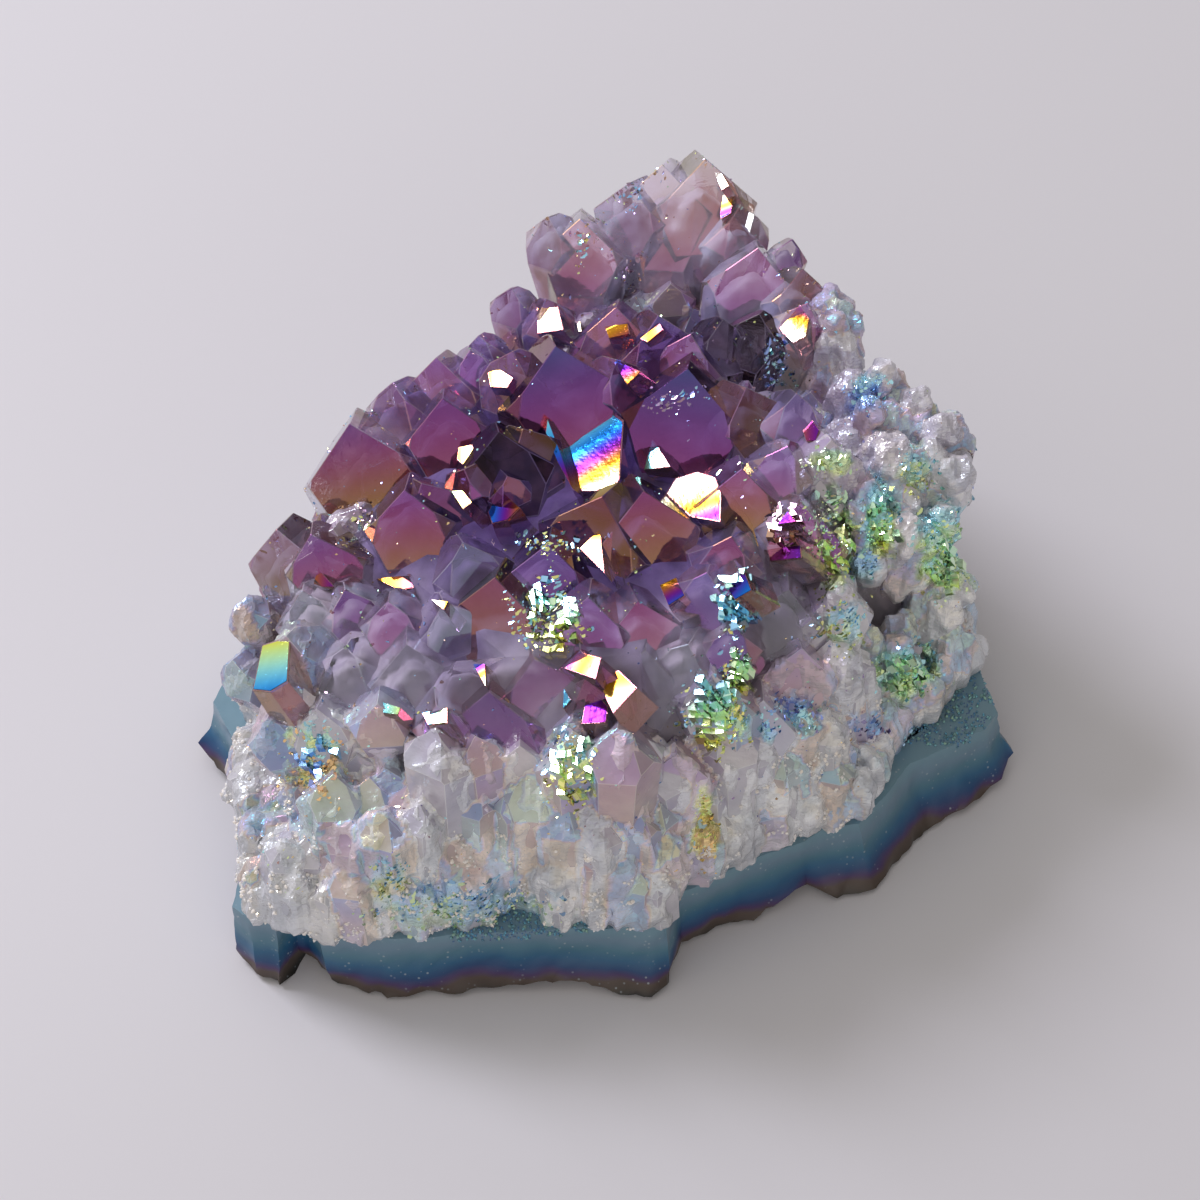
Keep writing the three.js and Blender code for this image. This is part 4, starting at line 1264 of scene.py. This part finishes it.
class Flakes:
    """Thin irregular plates, each a closed body whose root is sunk in the quartz."""

    def __init__(self):
        self.points, self.faces, self.film, self.shade = [], [], [], []

    def add(self, number, place, normal, inward, size, film, shade):
        across = unit(np.cross(normal, [0.2, 1.0, 0.1]))
        along = np.cross(normal, across)
        turn = spread(number, 1, 0, 2 * math.pi)
        cos, sin = math.cos(turn), math.sin(turn)
        across, along = across * cos + along * sin, along * cos - across * sin
        stretch = spread(number, 2, *FLAKE_STRETCH)
        count = 4 + int(3 * share(number, 3))
        ring = []
        for i in range(count):
            angle = 2 * math.pi * (i + spread(number, 10 + i, -0.3, 0.3)) / count
            reach = size * spread(number, 20 + i, 0.7, 1.15)
            ring.append(across * math.cos(angle) * reach * stretch + along * math.sin(angle) * reach)
        sink = inward * (0.3 + size)
        first = len(self.points)
        self.points += [place + p for p in ring] + [place + p * FLAKE_ROOT + sink for p in ring]
        self.film += [film] * (2 * count)
        self.shade += [shade] * (2 * count)
        top = list(range(first, first + count))
        back = list(range(first + count, first + 2 * count))
        self.faces += [top, back[::-1]]
        self.faces += [(b, a, d, c) for a, b, c, d in between_rings(top, back)]

    def mesh(self, name):
        made = bpy.data.meshes.new(name)
        made.from_pydata([tuple(p * MM) for p in self.points], [], self.faces)
        store(made, "film", self.film)
        store(made, "shade", self.shade)
        return made


def seen_at(points):
    """Where the camera sees these points: right and up on its view plane, in millimetres."""
    eye, _ = view_ray(0, 0)
    target = np.array(CAMERA_TARGET)
    ahead = unit(target - eye)
    across = np.array([1.0, 0.0, 0.0])
    offsets = points - eye
    flat = offsets * (CAMERA_DISTANCE / (offsets @ ahead))[:, None] + eye - target
    return flat @ across, flat @ np.cross(across, ahead)


def coat_patches(piece):
    """Marks the vertices that the crackled patches cover, and the film that they carry there."""
    mesh = piece.data
    count = len(mesh.vertices)
    places, normals = np.zeros(3 * count), np.zeros(3 * count)
    mesh.vertices.foreach_get("co", places)
    mesh.vertices.foreach_get("normal", normals)
    places, normals = places.reshape(-1, 3) / MM, normals.reshape(-1, 3)
    towards = view_ray(0, 0)[0] - places
    facing_it = (normals * towards).sum(1) > 0.05 * np.linalg.norm(towards, axis=1)
    rights, ups = seen_at(places)
    cover, film = np.zeros(count), np.full(count, 160.0)
    for right, up, wide, high, films, bright in GLITTER_PATCHES:
        away = np.hypot((rights - right) / wide, (ups - up) / high)
        for i in np.flatnonzero(facing_it & (away < 0.75)):
            spot = Vector(places[i])
            ragged = 0.25 * noise.noise(spot * 0.35) + 0.22 * noise.noise(spot * 1.1)
            strength = bright * limited((0.5 - away[i] - ragged) * 5)
            if strength > cover[i]:
                cover[i] = strength
                t = limited(0.5 + (ups[i] - up) / high * 1.2 + noise.noise(spot * 0.5))
                film[i] = films[1] + (films[0] - films[1]) * t
    store(mesh, "cover", cover)
    store(mesh, "patch_film", film)


def mirror_normal(place):
    """The normal of a face here that mirrors the lamp to the camera."""
    return unit(unit(KEY_DIRECTION) + unit(view_ray(0, 0)[0] - place))


def tilt_of(number, most):
    return np.array([spread(number, 30 + i, -most, most) for i in range(3)])


def mostly_small(number, sizes, power):
    """A size between these two, and nearer to the smaller one most of the time."""
    return sizes[0] + (sizes[1] - sizes[0]) * share(number, 8) ** power


def glitter_patch(flakes, surface, row, seed):
    """Flakes on the quartz that the camera sees in this patch, fewer towards its ragged edge."""
    right, up, wide, high, films, bright = row
    for number in range(seed, seed + int(FLAKES * wide * high)):
        u, v = spread(number, 1, -0.6, 0.6), spread(number, 2, -0.6, 0.6)
        spot = Vector((u * wide, v * high, seed))
        ragged = 0.3 * noise.noise(spot * 0.5) + 0.3 * noise.noise(spot * 1.6)
        if math.hypot(u, v) + ragged > spread(number, 3, 0.2, 0.52):
            continue
        found = surface.hit(right + u * wide, up + v * high)
        if found is None:
            continue
        place, normal, _ = found
        facet = unit(0.8 * mirror_normal(place) + 0.3 * normal + tilt_of(number, FLAKE_TILT))
        upper = share(number, 4) < 0.5 + 0.8 * v + 0.5 * noise.noise(spot * 0.4)
        film = films[0 if upper else 1] + spread(number, 5, -0.5, 0.5) * GLITTER_SPREAD
        # A shade below 1 darkens the flake's colour towards grey: painted shade.
        shade = min(1.0, 0.4 + bright * spread(number, 6, 0.3, 0.9))
        size = mostly_small(number, FLAKE_SIZE, 2)
        flakes.add(number, place + normal * FLAKE_PROUD, facet, -normal, size, film, shade)


def scattered(pieces, count):
    """Places spread by area over some pieces, each with the way out of the surface there."""
    chance = np.random.default_rng(11)
    corners = []
    for piece in pieces:
        mesh = piece.data
        mesh.calc_loop_triangles()
        spots = np.array([v.co for v in mesh.vertices]) / MM
        corners.append(spots[[t.vertices[:] for t in mesh.loop_triangles]])
    corners = np.concatenate(corners)
    outs = np.cross(corners[:, 1] - corners[:, 0], corners[:, 2] - corners[:, 0])
    sizes = np.linalg.norm(outs, axis=1)
    outs = outs / np.maximum(sizes, 1e-9)[:, None]
    open_air = (corners[:, :, 2].mean(1) > CLEAR_FLOOR) & (outs[:, 2] > -0.3)
    weights = sizes * open_air
    picked = chance.choice(len(corners), count, p=weights / weights.sum())
    a, b = chance.random(count), chance.random(count)
    flip = a + b > 1
    a, b = np.where(flip, 1 - a, a), np.where(flip, 1 - b, b)
    base = corners[picked]
    places = base[:, 0] + (base[:, 1] - base[:, 0]) * a[:, None] + (base[:, 2] - base[:, 0]) * b[:, None]
    return zip(places, outs[picked])


def make_glitter(surface, material):
    """Crackled patches of film on rough quartz."""
    flakes = Flakes()
    for k, row in enumerate(GLITTER_PATCHES):
        glitter_patch(flakes, surface, row, GLITTER_SEED + PATCH_SEEDS * k)
    return add_piece("aura_glitter", flakes.mesh("glitter"), material)


def make_sparkle(pieces, material):
    """Specks of film all over the clear and the milky quartz, in drifts."""
    flakes = Flakes()
    for k, (place, normal) in enumerate(scattered(pieces, SPARKLES)):
        spot = Vector(place)
        if noise.noise(spot * 0.16) + 0.6 * noise.noise(spot * 0.7) >= -0.05:
            facet = unit(0.6 * normal + mirror_normal(place) + tilt_of(k, SPARKLE_TILT))
            size = mostly_small(k, SPARKLE_SIZE, 2.4)
            film = spread(k, 9, *SPARKLE_FILM)
            flakes.add(k, place + normal * SPARKLE_PROUD, facet, -normal, size, film, 1.0)
    return add_piece("aura_sparkle", flakes.mesh("sparkle"), material)


def make_grains(name, source, material, values):
    """Grains scattered over a copy of a piece."""
    carrier = placed(name, source.data.copy())
    add_tree(carrier, grain_tree(material), values)
    mesh = plain_mesh(carrier)
    drop(carrier)
    return add_piece(name, mesh, material)


# ---------------------------------------------------------------- shader groups

def new_group(name, numbers, output, kind):
    """A shader group with these named numbers and one output."""
    group = bpy.data.node_groups.new(name, "ShaderNodeTree")
    for label, value in numbers.items():
        socket = group.interface.new_socket(label, in_out="INPUT", socket_type="NodeSocketFloat")
        socket.default_value = value
    group.interface.new_socket(output, in_out="OUTPUT", socket_type=kind)
    return group, group.nodes.new("NodeGroupInput").outputs, group.nodes.new("NodeGroupOutput").inputs[0]


def object_place(tree):
    return node(tree, "ShaderNodeTexCoord").outputs["Object"]


def attribute(tree, name):
    return node(tree, "ShaderNodeAttribute", attribute_name=name).outputs["Fac"]


def mix_colour(tree, factor, a, b):
    return node(tree, "ShaderNodeMix", {0: factor, 6: a, 7: b}, data_type="RGBA").outputs[2]


def film_hue_group():
    """The colour that a film of this thickness mirrors most, from its waves' interference."""
    group, given, end = new_group("film_hue", {"Film": 150.0, "Paleness": 0.0}, "Color", "NodeSocketColor")
    channels = []
    for wavelength in WAVELENGTHS:
        turns = maths(group, "MULTIPLY", given["Film"], 4 * math.pi * FILM_IOR / wavelength)
        channels.append(maths(group, "MULTIPLY_ADD", maths(group, "COSINE", turns), -0.5, 0.5))
    hue = node(group, "ShaderNodeCombineColor", dict(enumerate(channels))).outputs[0]
    group.links.new(mix_colour(group, given["Paleness"], hue, (1, 1, 1, 1)), end)
    return group


def growth_marks_group():
    """Height of growth hillocks, fine steps and pits on quartz faces."""
    sizes = {"Hillock Size": 0.0015, "Step Size": 0.0005}
    group, given, end = new_group("growth_marks", sizes, "Height", "NodeSocketFloat")
    place = object_place(group)
    hillock_scale, step_scale = [maths(group, "DIVIDE", 1.0, given[label]) for label in sizes]
    hillocks = noise_at(group, place, hillock_scale, 3.0)
    steps = noise_at(group, vectors(group, "MULTIPLY", place, (0.35, 0.35, 1.6))[0], step_scale, 2.0)
    pits = mapped(group, cells_at(group, place, step_scale), 0.0, 0.28, 1.0, 0.0)
    height = maths(group, "ADD", hillocks, maths(group, "MULTIPLY", steps, 0.35))
    group.links.new(maths(group, "SUBTRACT", height, maths(group, "MULTIPLY", pits, 0.15)), end)
    return group


def colour_zone_group():
    """How purple the quartz is: deepest in the middle of the crown, none at the broken sides."""
    numbers = {"Reach": 0.034, "Softness": 0.5}
    group, given, end = new_group("colour_zone", numbers, "Purple", "NodeSocketFloat")
    place = object_place(group)
    rough = noise_at(group, place, 90.0, 2.0)
    offset = vectors(group, "SUBTRACT", place, PURPLE_MIDDLE)[0]
    far = vectors(group, "LENGTH", vectors(group, "MULTIPLY", offset, (1.0, 1.0, 1.15))[0])["Value"]
    near = maths(group, "SUBTRACT", 1.0, maths(group, "DIVIDE", far, given["Reach"]))
    mixed = maths(group, "ADD", near, maths(group, "MULTIPLY_ADD", rough, 0.7, -0.35))
    values = {0: mixed, 1: 0.0, 2: given["Softness"]}
    soft = node(group, "ShaderNodeMapRange", values, interpolation_type="SMOOTHSTEP")
    group.links.new(soft.outputs[0], end)
    return group


def use_group(tree, group, values):
    return node(tree, "ShaderNodeGroup", values, node_tree=group).outputs[0]


def hue_of(tree, groups, film, paleness):
    return use_group(tree, groups["hue"], {"Film": film, "Paleness": paleness})


def purple_of(tree, groups, reach, softness):
    return use_group(tree, groups["zone"], {"Reach": reach, "Softness": softness})


# ---------------------------------------------------------------- materials

def new_material(name, values):
    material = bpy.data.materials.new(name)
    material.use_nodes = True
    shader = material.node_tree.nodes["Principled BSDF"]
    fill(shader, values)
    return material, material.node_tree, shader


def coated_material(name, values):
    """Quartz under a film, whose thickness the surface carries."""
    material, tree, shader = new_material(name, values)
    film = attribute(tree, "film")
    fill(shader, {"IOR": QUARTZ_IOR, "Thin Film IOR": FILM_IOR, "Thin Film Thickness": film})
    return material, tree, shader, film


def passing(tree, mask, low, high, a, b):
    """From one colour to the other as the mask passes from low to high."""
    return mix_colour(tree, mapped(tree, mask, low, high, 0.0, 1.0), a, b)


def bump(tree, shader, height, distance):
    made = node(tree, "ShaderNodeBump", {"Height": height, "Distance": distance})
    tree.links.new(made.outputs[0], shader.inputs["Normal"])


def mark_faces(tree, shader, groups, hillock, step, distance):
    """Growth marks of these sizes on the faces."""
    sizes = {"Hillock Size": hillock, "Step Size": step}
    bump(tree, shader, use_group(tree, groups["marks"], sizes), distance)


def open_to_lamps(tree, shader, tint):
    """Lets light from the lamps pass through clear quartz to what lies behind it."""
    shadow = node(tree, "ShaderNodeLightPath").outputs["Is Shadow Ray"]
    clear = node(tree, "ShaderNodeBsdfTransparent", {"Color": tint}).outputs[0]
    mixed = node(tree, "ShaderNodeMixShader", {0: shadow, 1: shader.outputs[0], 2: clear}).outputs[0]
    tree.links.new(mixed, tree.nodes["Material Output"].inputs["Surface"])


def milky_colour(tree, groups, film, clouds, contrast, zone, colours):
    """Cloudy white quartz, clearer and so darker on the left, purple near the crown, and tinged by
    its film."""
    cloudy, white, left, purple = colours
    milky = passing(tree, clouds, 0.5 - contrast, 0.5 + contrast, cloudy, white)
    across = node(tree, "ShaderNodeSeparateXYZ", {0: object_place(tree)}).outputs["X"]
    milky = mix_colour(tree, mapped(tree, across, *LEFT_FADE, 0.75, 0.0), milky, left)
    body = mix_colour(tree, purple_of(tree, groups, *zone), milky, purple)
    return mix_colour(tree, 0.09, body, hue_of(tree, groups, film, 0.5))


def coated_amethyst(groups):
    """The clear points: purple in the middle, pale at the worn edges (partly a painted highlight), and
    darkened by their tone, which is partly smoky colour and partly painted shade.
    """
    material, tree, shader, film = coated_material("coated_amethyst", {"Transmission Weight": 0.9})
    purple = purple_of(tree, groups, 0.036, 0.55)
    body = mix_colour(tree, purple, (0.94, 0.89, 0.99, 1), (0.47, 0.36, 0.74, 1))
    coated = mix_colour(tree, 0.07, body, hue_of(tree, groups, film, 0.3))
    wear_and_highlight = attribute(tree, "wear_and_highlight")
    # The worn edges are painted paler: partly wear, partly a painted highlight.
    edged = mix_colour(tree, wear_and_highlight, coated, (0.96, 0.93, 0.98, 1))
    # Dark points and faces are made near-black by their tone: partly smoky colour, partly painted shade.
    # Their worn edges stay paler, partly a painted highlight.
    veils = noise_at(tree, object_place(tree), 330.0, 5.0)
    smoky_and_shade = passing(tree, veils, 0.45, 0.68, (0.0012, 0.0006, 0.001, 1), (0.05, 0.022, 0.02, 1))
    edged_smoky_and_shade = mix_colour(tree, maths(tree, "MULTIPLY", wear_and_highlight, 0.4), smoky_and_shade, (0.42, 0.38, 0.46, 1))
    dull = mapped(tree, film, *SMOKY_FILM, 1.0, 0.0)
    fill(shader, {
        "Base Color": mix_colour(tree, attribute(tree, "tone"), edged, edged_smoky_and_shade),
        "Specular Tint": mix_colour(tree, dull, (1, 1, 1, 1), (0.3, 0.22, 0.22, 1)),
        "Roughness": mapped(tree, wear_and_highlight, 0.0, 1.0, 0.03, 0.25),
    })
    mark_faces(tree, shader, groups, 0.0022, 0.0005, 0.000008)
    open_to_lamps(tree, shader, (0.92, 0.88, 0.94, 1))
    return material


def clear_skin(groups):
    """The polished faces of the milky columns."""
    values = {"Roughness": 0.12, "Transmission Weight": 0.3}
    material, tree, shader, film = coated_material("clear_skin", values)
    clouds = noise_at(tree, object_place(tree), 300.0, 4.0)
    coated = milky_colour(tree, groups, film, clouds, 0.15, (0.069, 0.8), (
        (0.7, 0.7, 0.76, 1), (0.97, 0.96, 0.99, 1), (0.5, 0.49, 0.53, 1), (0.6, 0.44, 0.72, 1),
    ))
    wear_and_highlight = attribute(tree, "wear_and_highlight")
    # The worn edges are painted paler: partly wear, partly a painted highlight.
    fill(shader, {"Base Color": mix_colour(tree, wear_and_highlight, coated, (0.98, 0.98, 1.0, 1))})
    mark_faces(tree, shader, groups, 0.0012, 0.0004, 0.00009)
    open_to_lamps(tree, shader, (0.95, 0.94, 0.96, 1))
    return material


def milky_quartz(groups):
    """Etched quartz, with metallic film where it is covered."""
    material, tree, shader, film = coated_material("milky_quartz", {})
    clouds = noise_at(tree, object_place(tree), 260.0, 4.0)
    coated = milky_colour(tree, groups, film, clouds, 0.12, (0.053, 0.7), (
        (0.57, 0.57, 0.61, 1), (0.94, 0.93, 0.96, 1), (0.45, 0.44, 0.48, 1), (0.46, 0.32, 0.58, 1),
    ))
    cover = attribute(tree, "cover")
    bright = hue_of(tree, groups, attribute(tree, "patch_film"), 0.26)
    fill(shader, {
        "Base Color": mix_colour(tree, cover, coated, bright),
        "Metallic": mapped(tree, cover, 0.0, 1.0, 0.0, 0.85),
        "Roughness": mapped(tree, clouds, 0.3, 0.7, 0.12, 0.36),
    })
    mark_faces(tree, shader, groups, 0.0012, 0.0004, 0.0003)
    return material


def cloudy_quartz(groups):
    """The cloudy roots inside the clear points, purple in the middle."""
    values = {"Roughness": 0.6, "Sheen Weight": 0.3}
    material, tree, shader = new_material("cloudy_quartz", values)
    clouds = noise_at(tree, object_place(tree), 260.0, 5.0)
    purple = purple_of(tree, groups, 0.04, 0.6)
    pale = passing(tree, clouds, 0.3, 0.7, (0.78, 0.7, 0.84, 1), (1.0, 0.96, 1.0, 1))
    deep = passing(tree, clouds, 0.3, 0.7, (0.1, 0.05, 0.19, 1), (0.38, 0.28, 0.55, 1))
    fill(shader, {"Base Color": mix_colour(tree, purple, pale, deep)})
    return material


def flashing_film(groups):
    """Coated faces that mirror the lamp in the full colours of the film."""
    material, tree, shader = new_material("flashing_film", {"Metallic": 1.0, "Roughness": 0.08})
    hue = hue_of(tree, groups, attribute(tree, "film"), 0.02)
    fill(shader, {"Base Color": mix_colour(tree, 0.12, hue, (0, 0, 0, 1))})
    mark_faces(tree, shader, groups, 0.0024, 0.0004, 0.00002)
    return material


def aura_foil(groups):
    """Flakes of film, some of them bright and some darkened towards grey by painted shade."""
    material, tree, shader = new_material("aura_foil", {"Metallic": 0.95, "Roughness": 0.12})
    hue = hue_of(tree, groups, attribute(tree, "film"), 0.3)
    shade = attribute(tree, "shade")
    fill(shader, {"Base Color": mix_colour(tree, shade, (0.3, 0.32, 0.35, 1), hue)})
    return material


def grain_material(groups, name, roughness, colour, share_of_film, paleness):
    """Small coated crystals."""
    material, tree, shader, film = coated_material(name, {"Roughness": roughness})
    hue = hue_of(tree, groups, film, paleness)
    fill(shader, {"Base Color": mix_colour(tree, share_of_film, colour, hue)})
    return material


def banded_agate():
    """Coated stone whose film changes with height: slate, teal, deep blue, purple, brown, black."""
    values = {"Coat Weight": 0.25, "Coat Roughness": 0.2}
    material, tree, shader = new_material("banded_agate", values)
    place = object_place(tree)
    warp = noise_at(tree, place, 60.0, 3.0)
    height = node(tree, "ShaderNodeSeparateXYZ", {0: place}).outputs["Z"]
    level = maths(tree, "ADD", height, mapped(tree, warp, 0.3, 0.7, -BAND_WARP, BAND_WARP))
    ramp = node(tree, "ShaderNodeValToRGB", {0: mapped(tree, level, 0.0, MATRIX_TOP * MM, 0.0, 1.0)})
    stops = ramp.color_ramp.elements
    for stop, (position, colour) in zip(stops, (MATRIX_BANDS[0], MATRIX_BANDS[-1])):
        stop.position = position
        stop.color = (*colour, 1)
    for position, colour in MATRIX_BANDS[1:-1]:
        stops.new(position).color = (*colour, 1)
    specks = mapped(tree, cells_at(tree, place, 1300.0), 0.1, 0.22, 1.0, 0.0)
    patches = noise_at(tree, place, 240.0, 2.0)
    dust = maths(tree, "MULTIPLY", specks, mapped(tree, patches, 0.5, 0.62, 0.0, 0.6))
    fill(shader, {
        "Base Color": mix_colour(tree, dust, ramp.outputs[0], (0.45, 0.52, 0.56, 1)),
        "Roughness": mapped(tree, patches, 0.3, 0.7, 0.28, 0.55),
    })
    bump(tree, shader, patches, 0.0002)
    return material


# ---------------------------------------------------------------- stage

def turned_along(way):
    """The turn of a lamp or camera that looks back along this direction."""
    return way.to_track_quat("Z", "Y").to_euler()


def make_lamp():
    data = bpy.data.lights.new("key", "AREA")
    data.shape = "RECTANGLE"
    data.size = data.size_y = KEY_SIZE
    data.energy = KEY_WATTS
    data.color = KEY_COLOUR
    lamp = placed("key", data)
    way = Vector(KEY_DIRECTION).normalized()
    lamp.location = Vector(KEY_AIM) + way * KEY_DISTANCE
    lamp.rotation_euler = turned_along(way)


def make_floor():
    bm = bmesh.new()
    bmesh.ops.create_grid(bm, x_segments=1, y_segments=1, size=FLOOR_REACH)
    floor = finish_bmesh("floor", bm)
    material, _, _ = new_material("pale_floor", {"Base Color": FLOOR_COLOUR, "Roughness": 0.5})
    floor.data.materials.append(material)
    bpy.context.scene.collection.objects.link(floor)


def brighter(tree, way, direction, start, low, high):
    """From low to high as the way turns to this direction."""
    toward = vectors(tree, "DOT_PRODUCT", way, unit(direction))["Value"]
    return mapped(tree, toward, start, 1.0, low, high)


def make_world():
    world = bpy.data.worlds.new("studio")
    world.use_nodes = True
    tree = world.node_tree
    way = node(tree, "ShaderNodeTexCoord").outputs["Generated"]
    light = brighter(tree, way, KEY_DIRECTION, 0.2, WORLD_DIM, WORLD_BRIGHT)
    wall = brighter(tree, way, FRONT_DIRECTION, 0.5, 0.0, FRONT_BRIGHT)
    fill(tree.nodes["Background"], {"Color": WORLD_COLOUR, "Strength": maths(tree, "ADD", light, wall)})
    bpy.context.scene.world = world


def make_camera():
    data = bpy.data.cameras.new("camera")
    data.lens = CAMERA_LENS
    data.sensor_width = 36
    data.clip_start = 0.01
    camera = placed("camera", data)
    h = math.radians(CAMERA_HEIGHT)
    back = Vector((0, -math.cos(h), math.sin(h)))
    camera.location = (Vector(CAMERA_TARGET) + back * CAMERA_DISTANCE) * MM
    camera.rotation_euler = turned_along(back)
    bpy.context.scene.camera = camera


def set_picture():
    scene = bpy.context.scene
    scene.view_settings.view_transform = "Standard"
    scene.cycles.caustics_refractive = False
    scene.cycles.max_bounces = 5
    scene.cycles.transmission_bounces = 5
    scene.cycles.transparent_max_bounces = 6
    scene.cycles.diffuse_bounces = 2
    scene.cycles.glossy_bounces = 2


# ---------------------------------------------------------------- the object

def mount(piece, node_name):
    """Every piece moves with the whole cluster, and takes a CAD node's place and finish."""
    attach(piece, "root")
    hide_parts(node_name)


def main():
    set_picture()
    make_floor()
    make_world()
    make_lamp()
    make_camera()
    groups = {"hue": film_hue_group(), "marks": growth_marks_group(), "zone": colour_zone_group()}
    relief = relief_tree()
    crown = make_crown(coated_amethyst(groups))
    columns = make_columns(clear_skin(groups))
    rough = make_rough(milky_quartz(groups), relief, columns)
    side = make_right_lobe(rough.data.materials[0], relief)
    heart = make_heart(cloudy_quartz(groups), relief)
    matrix = make_matrix(banded_agate())
    sugar = grain_material(groups, "sugar_quartz", 0.1, (0.97, 0.96, 0.99, 1), 0.1, 0.5)
    rim_grains = make_grains("druse_sugar", rough, sugar, RIND_GRAINS)
    teal = grain_material(groups, "ledge_druse", 0.15, (0.15, 0.2, 0.25, 1), 0.15, 0.15)
    ledge_grains = make_grains("ledge_sugar", matrix, teal, LEDGE_GRAINS)
    surface = Surface([crown, columns, rough, side])
    points, mirrors = make_flashes(surface, crown.data.materials[0], flashing_film(groups))
    for piece in (rough, side):
        coat_patches(piece)
    film = aura_foil(groups)
    crackle = make_crackle(surface, film)
    glitter = make_glitter(surface, film)
    sparkle = make_sparkle([crown, columns, rough, side], film)
    quartz = [crown, columns, rough, side, heart, rim_grains, points, mirrors, crackle, glitter, sparkle]
    for piece in quartz:
        mount(piece, "amethyst_druse")
    mount(ledge_grains, "agate_matrix")
    mount(matrix, "agate_matrix")


main()
